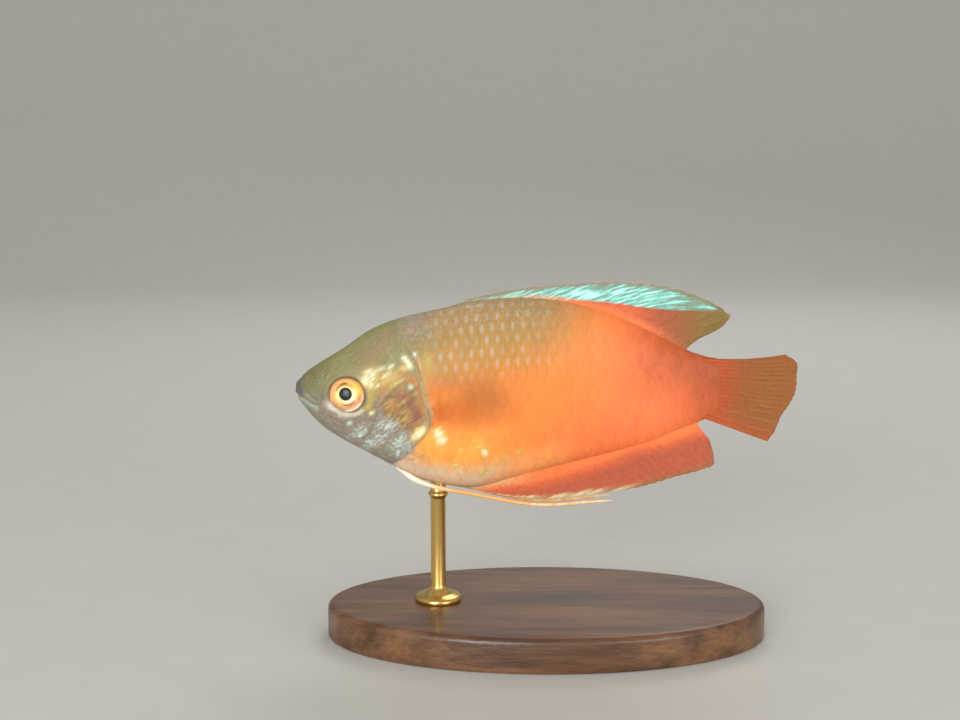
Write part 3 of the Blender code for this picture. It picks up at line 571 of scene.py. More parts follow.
# Paint in the order that it lies: marking, colour, the mottle that breaks it up, how much, and most cover
BODY_PAINT = [
    ("rear_red", "#F87A48", "soft", 0.15, 1.0),
    ("rear_shade", "#C0582C", "soft", 0.2, 0.95),
    ("stalk", "#A64A20", "soft", 0.1, 1.0),
    ("belly_glow", "#FFAA66", "soft", 0.2, 0.8),
    ("shoulder_shade", "#AA6428", "soft", 0.08, 0.66),
    ("fin_lobe", "#CC701E", "soft", 0.2, 0.8),
    ("gold_zone", "#EDA648", "soft", 0.4, 0.9),
    ("gold_back", "#BE872C", "soft", 0.3, 0.85),
    ("olive_back", "#928652", "soft", 0.2, 0.9),
    ("olive_back", "#A08642", "streak", 1.0, 0.5),
    ("grey_back", "#80805F", "soft", 0.35, 0.9),
    ("grey_back", "#8E7468", "hair", 1.0, 0.4),
    ("grey_back", "#B4A88E", "fleck", 1.0, 0.5),
    ("lilac_belly", "#D6BE9E", "soft", 0.3, 0.95),
    ("olive_head", "#787C4C", "soft", 0.1, 1.0),
    ("olive_head", "#9C8C62", "hair", 1.0, 0.6),
    ("tan_head", "#8E7444", "streak", 0.6, 0.75),
    ("lilac_head", "#9C9680", "soft", 0.15, 1.0),
    ("lilac_head", "#7E6A6C", "hair", 1.0, 0.6),
    ("lilac_head", "#66604F", "fleck", 1.0, 0.4),
    ("mauve", "#967A6E", "streak", 0.8, 0.55),
    ("snout", "#666442", "soft", 0.3, 0.75),
    ("silver", "#A2A697", "soft", 0.6, 0.55),
    ("silver", "#CAD8CC", "hair", 1.0, 0.75),
    ("silver", "#7A6668", "streak", 1.0, 0.4),
    ("rust_cover", "#96703C", "soft", 0.3, 0.95),
    ("rust_cover", "#C2A05A", "hair", 1.0, 0.7),
    ("rust_cover", "#70503A", "streak", 1.0, 0.55),
    ("maroon", "#8C4E40", "soft", 0.6, 0.8),
    ("orange_cover", "#B87434", "streak", 0.5, 0.85),
    ("yellow", "#B8A040", "streak", 0.4, 0.95),
    # Painted shade round the eye, in its socket
    ("socket", "#5A4E30", "soft", 0.2, 0.7),
    ("blush", "#CDB8B0", "fine", 0.4, 0.75),
    ("under_eye", "#D2CAB2", "fine", 0.3, 0.8),
    ("gold", "#CCA852", "streak", 0.3, 1.0),
    ("gold", "#E6CC80", "hair", 1.0, 0.65),
    # Pale flecks, partly painted highlights on the upper gill cover
    ("pale", "#F6F2CA", "streak", 0.3, 0.95),
    ("lines", "#746A3C", "hair", 1.0, 0.4),
    # Pale mint patches, and painted glints along the back
    ("mint_and_glints", "#C2E2D2", "streak", 0.3, 0.9),
    ("cover_edge", "#B4965A", "fine", 0.4, 0.85),
    ("jaw", "#9AA290", "fine", 0.3, 0.85),
    ("lip", "#5E5860", "fine", 0.3, 0.85),
]
BODY_ORANGE = "#EE8438"

# Finishes

MATH, RANGE = "ShaderNodeMath", "ShaderNodeMapRange"
MIX, MIX_SHADER = "ShaderNodeMix", "ShaderNodeMixShader"
NOISE, BUMP = "ShaderNodeTexNoise", "ShaderNodeBump"
PRINCIPLED, OUTPUT = "ShaderNodeBsdfPrincipled", "ShaderNodeOutputMaterial"
TIMES, SMOOTH = {"operation": "MULTIPLY"}, {"interpolation_type": "SMOOTHSTEP"}
# A colour Mix node's inputs and output by place
BELOW, ABOVE, BLENDED = 6, 7, 2


def linear(hex_colour):
    """An sRGB hex colour as Blender's linear colour."""
    shares = [int(hex_colour[i : i + 2], 16) / 255 for i in (1, 3, 5)]
    return [s / 12.92 if s <= 0.04045 else ((s + 0.055) / 1.055) ** 2.4 for s in shares] + [1.0]


def new_finish(name):
    """An empty material and its node tree."""
    made = bpy.data.materials.new(name)
    made.use_nodes = True
    made.node_tree.nodes.clear()
    return made, made.node_tree


def add(tree, kind, settings=None, inputs=None, out=0):
    """Adds a node with its own settings and its inputs, each a value or a link, and gives its result."""
    made = tree.nodes.new(kind)
    for key, value in (settings or {}).items():
        setattr(made, key, value)
    for key, value in (inputs or {}).items():
        if isinstance(value, bpy.types.NodeSocket):
            tree.links.new(value, made.inputs[key])
        else:
            made.inputs[key].default_value = value
    return made.outputs[out] if made.outputs else made


def carried(tree, *names):
    """The shares that a mesh carries under these names."""
    return [add(tree, "ShaderNodeAttribute", {"attribute_name": name}, out="Fac") for name in names]


def where(tree, *shares):
    """Shares multiplied together; one may be a value with where it counts for nothing and where in full."""
    made = None
    for share in shares:
        if isinstance(share, tuple):
            value, none, full = share
            share = add(tree, RANGE, SMOOTH, {"Value": value, "From Min": none, "From Max": full})
        made = share if made is None else add(tree, MATH, TIMES, {0: made, 1: share})
    return made


def laid_over(tree, below, colour, cover):
    """One colour laid over another where cover says."""
    colour = linear(colour) if isinstance(colour, str) else colour
    held = {0: cover, BELOW: below, ABOVE: colour}
    return add(tree, MIX, {"data_type": "RGBA"}, held, out=BLENDED)


def grain(tree, size_mm, detail=2.0, long=(1, 1, 1), lean=0.0):
    """A mottle of a real size, from 0 to 1, stretched by long and tilted up to the rear by lean."""
    place = add(tree, "ShaderNodeTexCoord", out="Object")
    held = {"Vector": place, "Scale": long, "Rotation": (0, -math.radians(lean), 0)}
    bent = add(tree, "ShaderNodeMapping", {"vector_type": "TEXTURE"}, held)
    noise = add(tree, NOISE, None, {"Vector": bent, "Scale": 1 / (size_mm * MM), "Detail": detail})
    return add(tree, RANGE, SMOOTH, {"Value": noise, "From Min": 0.28, "From Max": 0.72})


def broken(tree, mask, mottle, amount, most=1.0):
    """A mask that a mottle breaks up by an amount from 0 to 1; where the mask is 0 nothing is covered."""
    both = add(tree, MATH, None, {0: mask, 1: mottle})
    cover = add(tree, MIX, None, {"Factor": amount, "A": mask, "B": where(tree, (both, 0.95, 1.75))})
    return where(tree, cover, most)


def toned(tree, colour, mottle, low, high):
    """A colour made darker and lighter by a mottle."""
    value = add(tree, RANGE, None, {"Value": mottle, "To Min": low, "To Max": high})
    return add(tree, "ShaderNodeHueSaturation", None, {"Color": colour, "Value": value})


# Ripples in radians: along a whole scale for its growth rings, whose real 0.04 mm is drawn coarser so that
# they show, and along a millimetre of a fin ray and of a thread-like fin for their joints
SCALE_RINGS, RAY_JOINTS, THREAD_JOINTS = 70.0, 16.0, 11.0


def rippled(tree, run, per_unit, strength, depth_mm):
    """The outward direction of a surface with fine even ripples along a run."""
    wave = add(tree, MATH, {"operation": "SINE"}, {0: where(tree, run, per_unit)})
    return add(tree, BUMP, None, {"Height": wave, "Strength": strength, "Distance": depth_mm * MM})


def body_mottles(tree):
    """The mottles that break up the body's markings, from broad patches down to fine slanting hairs."""
    # Real pigment cells are about 0.05 mm across; flecks and hairs are drawn coarser, so that they show
    return {
        "soft": grain(tree, 1.6, 3.0),
        "fine": grain(tree, 0.6, 2.0),
        "fleck": grain(tree, 0.35, 2.0, (1, 1, 1.8)),
        "streak": grain(tree, 0.5, 2.0, (4.0, 1, 1), 36),
        "hair": grain(tree, 0.24, 2.0, (5.0, 1, 1), 40),
    }


def painted_body(tree):
    """The body's colour, which skin and scales share."""
    mottles = body_mottles(tree)
    colour = linear(BODY_ORANGE)
    for name, paint, kind, amount, most in BODY_PAINT:
        (mask,) = carried(tree, name)
        colour = laid_over(tree, colour, paint, broken(tree, mask, mottles[kind], amount, most))
    return colour


# The speckle of pigment and the skin's pores, both drawn about twice as coarse as real, so that they show
SPECKLE_MM, PORE_MM = 0.16, 0.1


def wet_skin():
    """Bare fish skin under slime: soft mottle, fine pores, and a wet gloss with light spreading under it."""
    made, tree = new_finish("wet fish skin")
    colour = toned(tree, painted_body(tree), grain(tree, SPECKLE_MM, 3.0), 0.86, 1.1)
    pores_in = {"Height": grain(tree, PORE_MM), "Strength": 0.25, "Distance": 0.02 * MM}
    pitted = add(tree, BUMP, None, pores_in)
    slime = {"Roughness": 0.45, "IOR": 1.4, "Coat Weight": 0.25, "Coat Roughness": 0.25}
    flesh = {"Subsurface Weight": 0.12, "Subsurface Scale": 0.4 * MM}
    shader = add(tree, PRINCIPLED, None, {"Base Color": colour, "Normal": pitted, **slime, **flesh})
    add(tree, OUTPUT, None, {"Surface": shader})
    return made


SCALE_GOLD, SCALE_BAR, SCALE_RIM = "#B87E2E", "#B4A496", "#B8803C"


def scale_finish():
    """Thin horny scales: fine rings, a wet gloss, and on the upper flank a pale bar across each."""
    made, tree = new_finish("fish scale")
    along, across, silver, pick = carried(tree, "scale_along", "scale_across", "scale_silver", "scale_pick")
    crossing = where(tree, (along, 0.6, 0.68), (along, 0.84, 0.76), (across, 0.26, 0.1))
    bar = where(tree, crossing, (pick, -0.5, 0.8), silver, 0.6)
    colour = laid_over(tree, painted_body(tree), SCALE_GOLD, where(tree, (across, 0.7, 0.3), silver, 0.4))
    colour = laid_over(tree, colour, SCALE_BAR, bar)
    colour = laid_over(tree, colour, SCALE_RIM, where(tree, (along, 0.76, 0.94), silver, 0.3))
    colour = toned(tree, colour, where(tree, (along, 0.72, 1.0)), 1.01, 0.95)
    colour = toned(tree, colour, pick, 0.95, 1.05)
    colour = toned(tree, colour, grain(tree, SPECKLE_MM, 3.0), 0.93, 1.06)
    ringed = rippled(tree, along, SCALE_RINGS, 0.1, 0.008)
    gloss = {"Roughness": 0.5, "IOR": 1.4, "Coat Weight": 0.06, "Coat Roughness": 0.35}
    shader = add(tree, PRINCIPLED, None, {"Base Color": colour, "Normal": ringed, **gloss})
    add(tree, OUTPUT, None, {"Surface": shader})
    return made


# Making pieces


def in_place(points):
    """Points in the fish's own millimetres as places in the model, in metres."""
    return (np.asarray(points, float) + np.array(SNOUT)) * MM


def in_scene(name, data):
    """A new object in the scene, from its mesh, lamp or camera data."""
    made = bpy.data.objects.new(name, data)
    bpy.context.scene.collection.objects.link(made)
    return made


def make_piece(name, points, faces, finish, marks=None):
    """A smooth mesh with its finish, its marks kept as attributes, riding on the model."""
    mesh = bpy.data.meshes.new(name)
    mesh.from_pydata(in_place(points).tolist(), [], [tuple(map(int, f)) for f in faces])
    mesh.shade_smooth()
    for key, values in (marks or {}).items():
        attribute = mesh.attributes.new(key, "FLOAT", "POINT")
        attribute.data.foreach_set("value", np.ascontiguousarray(values, np.float32))
    mesh.materials.append(finish)
    made = in_scene(name, mesh)
    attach(made, "root")
    return made


def grid_faces(rows, columns, wrapped=False):
    """The four-cornered faces of a grid of points."""
    last = columns if wrapped else columns - 1
    r, c = np.meshgrid(np.arange(rows - 1), np.arange(last), indexing="ij")
    d = (c + 1) % columns
    corners = [r * columns + c, r * columns + d, (r + 1) * columns + d, (r + 1) * columns + c]
    return np.stack([k.ravel() for k in corners], -1)


def sheet_faces(rows, columns):
    """The faces of a closed sheet: its upper side, its under side and its rim."""
    upper = grid_faces(rows, columns)
    cells = rows * columns
    front = np.arange(columns)
    right = np.arange(rows) * columns + columns - 1
    rear = front[::-1] + (rows - 1) * columns
    left = np.arange(rows)[::-1] * columns
    rim = np.concatenate([front[:-1], right[:-1], rear[:-1], left[:-1]])
    after = np.roll(rim, -1)
    wall = np.stack([after, rim, rim + cells, after + cells], -1)
    return np.concatenate([upper, upper[:, ::-1] + cells, wall])


HEAD_NODES = ("head", "lower_jaw", "gill_cover_left", "gill_cover_right")
TRUNK_NODES = ("shoulder", "flank", "tail_stalk")
# The rounded ends of the skin, whose last rings stay just open, so that a face can fill them
NOSE_RINGS, TAIL_RINGS = 9, 10
NOSE_OPEN, TAIL_OPEN = 0.999, 0.9995


def skin(finish):
    """The whole skin from the lips to the root of the tail, as one surface."""
    nose = -SNOUT_CAP * np.cos(np.linspace(0, np.pi / 2, NOSE_RINGS))[:-1]
    nose[0] *= NOSE_OPEN
    head = np.linspace(0, HEAD_END, HEAD_RINGS)[:-1]
    trunk = np.linspace(HEAD_END, BODY_END, TRUNK_RINGS)[:-1]
    tail = BODY_END + TAIL_CAP * np.sin(np.linspace(0, np.pi / 2, TAIL_RINGS)) * TAIL_OPEN
    reaches = np.concatenate([nose, head, trunk, tail])
    turns = np.linspace(0, 2 * np.pi, SKIN_TURNS, endpoint=False)
    reach, turn = (k.ravel() for k in np.meshgrid(reaches, turns, indexing="ij"))
    points = sink_sockets(skin_point(reach, turn)[0])
    rows = len(reaches)
    faces = [tuple(f[::-1]) for f in grid_faces(rows, SKIN_TURNS, wrapped=True)]
    faces.append(tuple(range(SKIN_TURNS)))
    faces.append(tuple(reversed(range((rows - 1) * SKIN_TURNS, rows * SKIN_TURNS))))
    base = body_point(reach, turn)
    marks = markings(base[:, 0], base[:, 2], base[:, 1])
    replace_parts(make_piece("skin", points, faces, finish, marks), *HEAD_NODES, *TRUNK_NODES)


# Scales

# A table from a place up the flank, measured along the skin, to its turn
TABLE_REACHES, TABLE_TURNS, TABLE_CLIMBS, CLIMB_MOST = 250, 400, 360, 18.0
# The largest scale: spacing along a row and between rows, its length before and behind its place, its half
# breadth, how far its free edge lifts and its root is sunk, its thickness, how far it swells and curls down
ROW_PITCH, ROW_SPACING = 1.45, 1.72
SCALE_ROOT, SCALE_FAN, SCALE_HALF = 1.45, 1.15, 1.85
SCALE_LIFT, SCALE_SUNK, SCALE_THICK = 0.11, 0.04, 0.02
SCALE_SWELL, SCALE_CURL = 0.03, 0.04
SCALE_COLUMNS, SCALE_ROWS = 11, 8
# How much a scale leans and how much its size varies, as standard deviations
SCALE_LEAN, SCALE_VARIES = 0.035, 0.03
RIM_CREASE = math.radians(45)
# Where the scales of the body and of the head begin and end, and the size of their patches on the bake map
BODY_SCALE_SPAN, HEAD_SCALE_SPAN = (12.0, 60.4), (6.6, 19.0)
BODY_PATCH, HEAD_PATCH = 0.004, 0.003


def climb_table():
    """Where a place is that lies some way up the flank from its widest line, measured along the skin."""
    reaches = np.linspace(0.0, BODY_END + 0.75 * TAIL_CAP, TABLE_REACHES)
    turns = np.linspace(-0.62 * np.pi, 0.62 * np.pi, TABLE_TURNS)
    climbs = np.linspace(-CLIMB_MOST, CLIMB_MOST, TABLE_CLIMBS)
    table = np.empty((len(reaches), len(climbs)))
    for i, reach in enumerate(reaches):
        ring = body_point(np.full(len(turns), reach), turns)
        run = np.concatenate([[0], np.cumsum(np.linalg.norm(np.diff(ring, axis=0), axis=1))])
        table[i] = np.interp(climbs, run - np.interp(0, turns, run), turns)
    return reaches, climbs, table


def turn_at(table, reach, climb):
    """The turn of a place at a reach and a climb, read between the table's places."""
    reaches, climbs, turns = table
    i = np.clip((reach - reaches[0]) / (reaches[1] - reaches[0]), 0, len(reaches) - 1.001)
    k = np.clip((climb - climbs[0]) / (climbs[1] - climbs[0]), 0, len(climbs) - 1.001)
    a, b = i.astype(int), k.astype(int)
    u, v = i - a, k - b
    low = turns[a, b] * (1 - u) + turns[a + 1, b] * u
    high = turns[a, b + 1] * (1 - u) + turns[a + 1, b + 1] * u
    return low * (1 - v) + high * v


def body_scale_size(reach):
    """The size of the body's scales, as a share of the largest."""
    return 1.0 - 0.32 * rise_between(38, 60, reach) - 0.25 * rise_between(19, 12, reach)


def head_scale_size(reach):
    """The size of the head's scales, which are the smallest on the face."""
    return 0.42 + 0.26 * rise_between(7, 15, reach)


def lattice(size, first, last):
    """Roots of scales in rows along the body, each row half a pitch behind the one beside it."""
    fine = np.linspace(first, last, 2000)
    middles = (fine[:-1] + fine[1:]) / 2
    passed = np.concatenate([[0], np.cumsum(np.diff(fine) / (ROW_PITCH * size(middles)))])
    rows = int(CLIMB_MOST / (ROW_SPACING * size(np.array([first, last])).min()))
    found = []
    for row in range(-rows, rows + 1):
        for step in range(int(passed[-1]) + 1):
            at = step + 0.5 * (row % 2)
            if at < passed[-1]:
                found.append((np.interp(at, passed, fine), row))
    return np.array(found)


def on_body(reach, height, out):
    """Whether a scale of the body grows at a place."""
    x, z = as_seen(reach, height, out)
    off = beside(GILL_OPENING, x, z)[0]
    lobe = np.hypot((reach - 19.9) / 0.9, (height + 3.4) / 2.0) > 1
    hip = np.hypot((reach - 15.3) / 1.5, (height + 12.4) / 0.9) > 1
    tail_end = 60.3 - 0.06 * (height + 0.4) ** 2
    return (off > 0.6) & lobe & hip & (reach < tail_end)


def on_head(reach, height, out):
    """Whether a small scale of the cheek, the gill cover or the nape grows at a place."""
    x, z = as_seen(reach, height, out)
    off = beside(GILL_OPENING, x, z)[0]
    front = beside(GILL_COVER_FRONT, x, z)[0]
    eye = np.hypot(reach - EYE_REACH, height - EYE_LEVEL)
    inside = np.where(z > 4.5, off < -0.1, off < -0.95)
    cover = inside & (x > 11.2) & (z > -10.0) & (np.abs(front) > 0.4)
    cheek = (x > 8.6) & (x < 11.3) & (eye > 3.5) & (z < 1.5) & (z > -6.6) & (np.abs(front) > 0.45)
    brow = 8.2 + 0.35 * np.abs(height - 3.5) + 0.5 * np.sin(2.3 * height)
    nape = inside & (z > 1.2 + 0.15 * (12 - x)) & (reach > brow) & (eye > 3.6)
    return cover | cheek | nape


def plate_grid():
    """One scale laid flat: its run from root to free edge, its breadth, and how far along and across."""
    across, along = np.meshgrid(np.linspace(-1, 1, SCALE_COLUMNS), np.linspace(0, 1, SCALE_ROWS))
    bent = np.sin(across * np.pi / 2)
    fan = np.sqrt(np.clip(1 - bent**2, 0, 1)) ** 0.9
    run = -SCALE_ROOT + along * (SCALE_ROOT + SCALE_FAN * fan)
    narrow = 0.72 + 0.28 * rise_between(0, 0.5, along)
    return run.ravel(), (bent * narrow * SCALE_HALF).ravel(), along.ravel(), across.ravel()


def scales(name, side, size, span, grows, finish, slot, patch, draw):
    """A coat of thin overlapping scales on one side, as one mesh of closed plates."""
    table = climb_table()
    reach, row = lattice(size, *span).T
    turn = turn_at(table, reach, row * ROW_SPACING * size(reach))
    middle = body_point(reach, turn)
    within = (np.abs(turn) < 0.5 * np.pi) & (middle[:, 1] > 0.35)
    kept = within & grows(reach, middle[:, 2], middle[:, 1])
    reach, row, turn = reach[kept], row[kept], turn[kept]
    count = len(reach)
    run, breadth, along, across = plate_grid()
    pick = draw.random(count)
    tilt = draw.normal(0, SCALE_LEAN, count)
    grown = size(reach) * draw.normal(1.0, SCALE_VARIES, count)
    x = reach[:, None] + grown[:, None] * (run + tilt[:, None] * breadth)
    w = grown[:, None] * (breadth - tilt[:, None] * run)
    flat_x, flat_climb = x.ravel(), (row[:, None] * ROW_SPACING * size(x) + w).ravel()
    turns = turn_at(table, flat_x, flat_climb)
    points, normal = skin_point(flat_x, turns)
    bent = SCALE_SWELL * np.sin(along * np.pi) - SCALE_CURL * across**2
    lift = SCALE_LIFT * along - SCALE_SUNK + bent
    stand = grown * (0.35 + 0.65 * rise_between(8.0, 19.0, reach)) * rise_between(62.5, 56.0, reach)
    top = points + normal * (lift * stand[:, None]).ravel()[:, None]
    thick = SCALE_THICK * (1 - 0.55 * along) * stand[:, None]
    under = top - normal * thick.ravel()[:, None]
    cells = len(along)
    both = np.concatenate([top.reshape(count, cells, 3), under.reshape(count, cells, 3)], axis=1)
    both = both.reshape(-1, 3)
    one = sheet_faces(SCALE_ROWS, SCALE_COLUMNS)
    every = (one[None] + (np.arange(count) * 2 * cells)[:, None, None]).reshape(-1, 4)
    base = body_point(flat_x, turns)
    marks = markings(flat_x, base[:, 2], base[:, 1])
    marks["scale_silver"] = silver_share(flat_x, base[:, 2])
    marks["scale_along"] = np.tile(along, count)
    marks["scale_across"] = np.abs(np.tile(across, count))
    marks["scale_pick"] = np.repeat(pick, cells)
    marks = {key: np.concatenate([v.reshape(count, cells)] * 2, axis=1).ravel() for key, v in marks.items()}
    if side < 0:
        both = both * np.array([1, -1, 1])
    else:
        every = every[:, ::-1]
    made = make_piece(name, both, every, finish, marks)
    made.data.set_sharp_from_angle(angle=RIM_CREASE)
    lay_bake_map(made, reach, turn, run, breadth, patch)


def silver_share(reach, height):
    """How strongly a scale shows its pale bar: most on the upper flank behind the head."""
    return rise_between(0.0, 4.5, height) * rise_between(40, 29, reach) * rise_between(17, 22, reach)


def lay_bake_map(made, reach, turn, run, breadth, patch):
    """A map that puts each scale as a small patch at its root's place on an unwrap of the skin."""
    u = 0.02 + 0.96 * reach / (BODY_END + TAIL_CAP)
    v = 0.5 + 0.46 * turn / (0.5 * np.pi)
    du, dv = run / SCALE_HALF * patch / 2, breadth / SCALE_HALF * patch / 2
    spots_u = np.repeat((u[:, None] + du)[:, None, :], 2, axis=1).ravel()
    spots_v = np.repeat((v[:, None] + dv)[:, None, :], 2, axis=1).ravel()
    layer = made.data.uv_layers.new(name="OFBake")
    corners = np.empty(len(made.data.loops), np.int32)
    made.data.loops.foreach_get("vertex_index", corners)
    places = np.stack([spots_u[corners], spots_v[corners]], -1)
    layer.data.foreach_set("uv", places.ravel().astype(np.float32))


def coat():
    """Every scale of the body and the head, left and right."""
    finish = scale_finish()
    draw = np.random.default_rng(SEED)
    body = (body_scale_size, BODY_SCALE_SPAN, on_body, finish, "body_skin", BODY_PATCH, draw)
    head = (head_scale_size, HEAD_SCALE_SPAN, on_head, finish, "head_skin", HEAD_PATCH, draw)
    for name, side in SIDES.items():
        scales(f"body_scales_{name}", side, *body)
        scales(f"head_scales_{name}", side, *head)


# Eyes

EYE_SIDES = 144
PUPIL_RADIUS, IRIS_RADIUS = 0.93, 2.62
# The pupil sits a little above and before the middle of the ring
PUPIL_UP, PUPIL_FORWARD = 0.17, 0.07
CORNEA_CURVE, CORNEA_RIM, CORNEA_FOOT, CORNEA_THICK = 3.7, 2.64, 0.36, 0.06


def turned(profile, sides, middle, facing):
    """Points of a profile of radius and height turned about an axis, ring by ring, with their angles."""
    sideways, upward = across_axis(facing)
    angles = np.linspace(0, 2 * np.pi, sides, endpoint=False)
    rings = []
    for radius, height in profile:
        spoke = np.cos(angles)[:, None] * sideways + np.sin(angles)[:, None] * upward
        rings.append(middle + height * facing + radius * spoke)
    return np.concatenate(rings), np.tile(angles, len(profile))


def closed_faces(rows, sides):
    """The faces of a turned form with its first and last ring filled."""
    faces = [tuple(f) for f in grid_faces(rows, sides, wrapped=True)]
    faces.append(tuple(reversed(range(sides))))
    faces.append(tuple(range((rows - 1) * sides, rows * sides)))
    return faces


def cornea_height(radius):
    """The height of the clear dome over the eye's middle."""
    rim = math.sqrt(1 - (CORNEA_RIM / CORNEA_CURVE) ** 2)
    return CORNEA_FOOT + CORNEA_CURVE * (np.sqrt(1 - (radius / CORNEA_CURVE) ** 2) - rim)


def iris_height(radius):
    """The height of the eye's inner surface: a bulging lens, and an iris that falls from it in low rings."""
    lens = 0.86 + 0.3 * np.sqrt(np.clip(1 - (radius / (PUPIL_RADIUS * 1.02)) ** 2, 0, 1))
    ring = 0.9 - 0.3 * (radius - PUPIL_RADIUS)
    ring = ring + 0.05 * hump(radius - 1.1, 0.1) + 0.05 * hump(radius - 1.95, 0.2)
    edge = ring - 0.14 * rise_between(2.43, 2.63, radius)
    return np.where(radius < PUPIL_RADIUS, lens, edge)


def eye(name, side, iris_finish, cornea_finish):
    """One eye: the black lens and gold iris, under a clear dome."""
    middle, facing = eye_axis(side)
    pupil = np.linspace(0.02, PUPIL_RADIUS, 16)
    ring = np.linspace(PUPIL_RADIUS + 0.02, IRIS_RADIUS, 44)
    profile = [(r, iris_height(np.array(r))) for r in (*pupil, *ring)]
    profile += [(2.56, -0.2), (2.2, -0.9)]
    points, angles = turned(profile, EYE_SIDES, middle, facing)
    radius = np.repeat([r for r, _ in profile], EYE_SIDES)
    sideways, upward = across_axis(facing)
    moved = rise_between(IRIS_RADIUS - 0.1, PUPIL_RADIUS, radius)[:, None]
    points = points + moved * (PUPIL_UP * upward + side * PUPIL_FORWARD * sideways)
    marks = iris_marks(radius, -side * np.cos(angles), np.sin(angles))
    faces = closed_faces(len(profile), EYE_SIDES)
    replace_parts(make_piece(f"eyeball_{name}", points, faces, iris_finish, marks), f"eye_{name}")
    radii = np.linspace(0.02, CORNEA_RIM, 30)
    outer = [(r, cornea_height(r)) for r in radii]
    dome = outer + [(r, h - CORNEA_THICK) for r, h in reversed(outer)]
    points = turned(dome, EYE_SIDES, middle, facing)[0]
    make_piece(f"cornea_{name}", points, closed_faces(len(dome), EYE_SIDES), cornea_finish)


def iris_marks(radius, backward, upward):
    """The iris's rings and arcs; directions run from 0 at the snout over 90 at the top to 180 behind."""
    direction = np.degrees(np.arctan2(upward, -backward)) % 360

    def arc(at, width, middle, spread, soft=0.5):
        apart = np.abs((direction - middle + 180) % 360 - 180)
        return hump(radius - at, width) * rise_between(spread * (1 + soft), spread * (1 - soft), apart)

    inner_ring = hump(radius - 1.02, 0.14)
    return {
        "pupil": rise_between(PUPIL_RADIUS + 0.05, PUPIL_RADIUS - 0.03, radius),
        "iris_bright": arc(2.05, 0.5, 140, 60),
        "iris_peach": arc(2.1, 0.4, 20, 50) + arc(2.2, 0.25, 90, 30),
        "iris_cream": np.maximum(inner_ring, arc(1.3, 0.36, -10, 50)) + arc(1.35, 0.3, 180, 40),
        "iris_white": np.maximum(arc(1.24, 0.14, 250, 38), 0.7 * arc(1.12, 0.1, 210, 30)),
        "iris_seam": arc(1.56, 0.1, 248, 34),
        "iris_salmon": np.maximum(arc(1.95, 0.22, 205, 32), arc(1.78, 0.14, 238, 22)),
        "iris_arc": np.maximum(arc(2.24, 0.15, 240, 30), arc(2.45, 0.13, 205, 34)),
        "iris_smudge": np.maximum(arc(1.54, 0.22, 74, 24), 0.75 * arc(1.48, 0.18, 40, 26)),
        "iris_lid": arc(2.38, 0.46, 292, 36, 0.35),
        # Painted shade: a brownish darkening along the iris's upper edge, where the brow above shades it
        "iris_brow_shade": np.maximum(arc(2.42, 0.22, 92, 40), 0.8 * arc(2.52, 0.12, 145, 40)),
        # Partly the iris's own dark rim and partly painted shade where the eyeball meets the socket
        "iris_rim_and_shade": rise_between(2.5, 2.62, radius),
        "iris_back": backward,
        "iris_up": upward,
        "iris_radius": radius,
    }


IRIS_AMBER = "#E8A254"
IRIS_PAINT = [
    ("iris_bright", "#FFC254"),
    ("iris_peach", "#F2B274"),
    ("iris_cream", "#FFEBA6"),
    # Painted shade under the brow
    ("iris_brow_shade", "#BE8A62"),
    ("iris_smudge", "#7A5E12"),
    ("iris_salmon", "#DC8A62"),
    ("iris_lid", "#A08A70"),
    ("iris_seam", "#84685C"),
    ("iris_white", "#FBF0DE"),
    ("iris_arc", "#F6DCCB"),
    # Dark rim, partly painted shade at the socket
    ("iris_rim_and_shade", "#8C6E54"),
    ("pupil", "#20282A"),
]


def iris():
    """A gold iris round a black pupil, with fine radial threads, as it lies under the clear dome."""
    made, tree = new_finish("gold iris")
    back, up, radius = carried(tree, "iris_back", "iris_up", "iris_radius")
    spot = add(tree, "ShaderNodeCombineXYZ", None, {"X": back, "Y": up, "Z": radius})
    threads = add(tree, "ShaderNodeMapping", None, {"Vector": spot, "Scale": (9, 9, 0.9)})
    noise = add(tree, NOISE, None, {"Vector": threads, "Scale": 1.0, "Detail": 3.0})
    colour = linear(IRIS_AMBER)
    for name, paint in IRIS_PAINT:
        colour = laid_over(tree, colour, paint, carried(tree, name)[0])
    colour = toned(tree, colour, where(tree, (noise, 0.3, 0.7)), 0.88, 1.08)
    held = {"Base Color": colour, "Roughness": 0.4, "Specular IOR Level": 0.2}
    shader = add(tree, PRINCIPLED, None, held)
    add(tree, OUTPUT, None, {"Surface": shader})
    return made


def clear_dome():
    """The clear, wet front of an eye: seen through, with a sharp gloss that grows towards its edge."""
    made, tree = new_finish("clear cornea")
    glass = add(tree, "ShaderNodeBsdfTransparent")
    gloss = add(tree, "ShaderNodeBsdfGlossy", None, {"Roughness": 0.06})
    edge = add(tree, "ShaderNodeLayerWeight", None, {"Blend": 0.5}, out="Facing")
    steep = add(tree, MATH, {"operation": "POWER"}, {0: edge, 1: 5.0})
    shine = add(tree, MATH, {"operation": "MULTIPLY_ADD"}, {0: steep, 1: 0.35, 2: 0.006})
    mixed = add(tree, MIX_SHADER, None, {0: shine, 1: glass, 2: gloss})
    add(tree, OUTPUT, None, {"Surface": mixed})
    return made


def eyes():
    """Both eyes."""
    iris_finish, cornea_finish = iris(), clear_dome()
    for name, side in SIDES.items():
        eye(name, side, iris_finish, cornea_finish)


# Fins

COLUMNS_PER_RAY, FIN_ROWS = 14, 72
FIN_SLACK, FIN_TIP_HALF, RAY_WIDTH = 0.03, 0.07, 0.12
# Rays, how many of them are spines, half thickness at the root, stand of the rays, and dip between ray tips
FIN_BUILDS = {
    "dorsal_fin": (24, 16, 0.45, 0.06, 0.02),
    "anal_fin": (31, 17, 0.45, 0.04, 0.012),
    "tail_fin": (16, 0, 0.4, 0.06, 0.006),
    "pectoral_fin": (11, 0, 0.2, 0.03, 0.006),
}
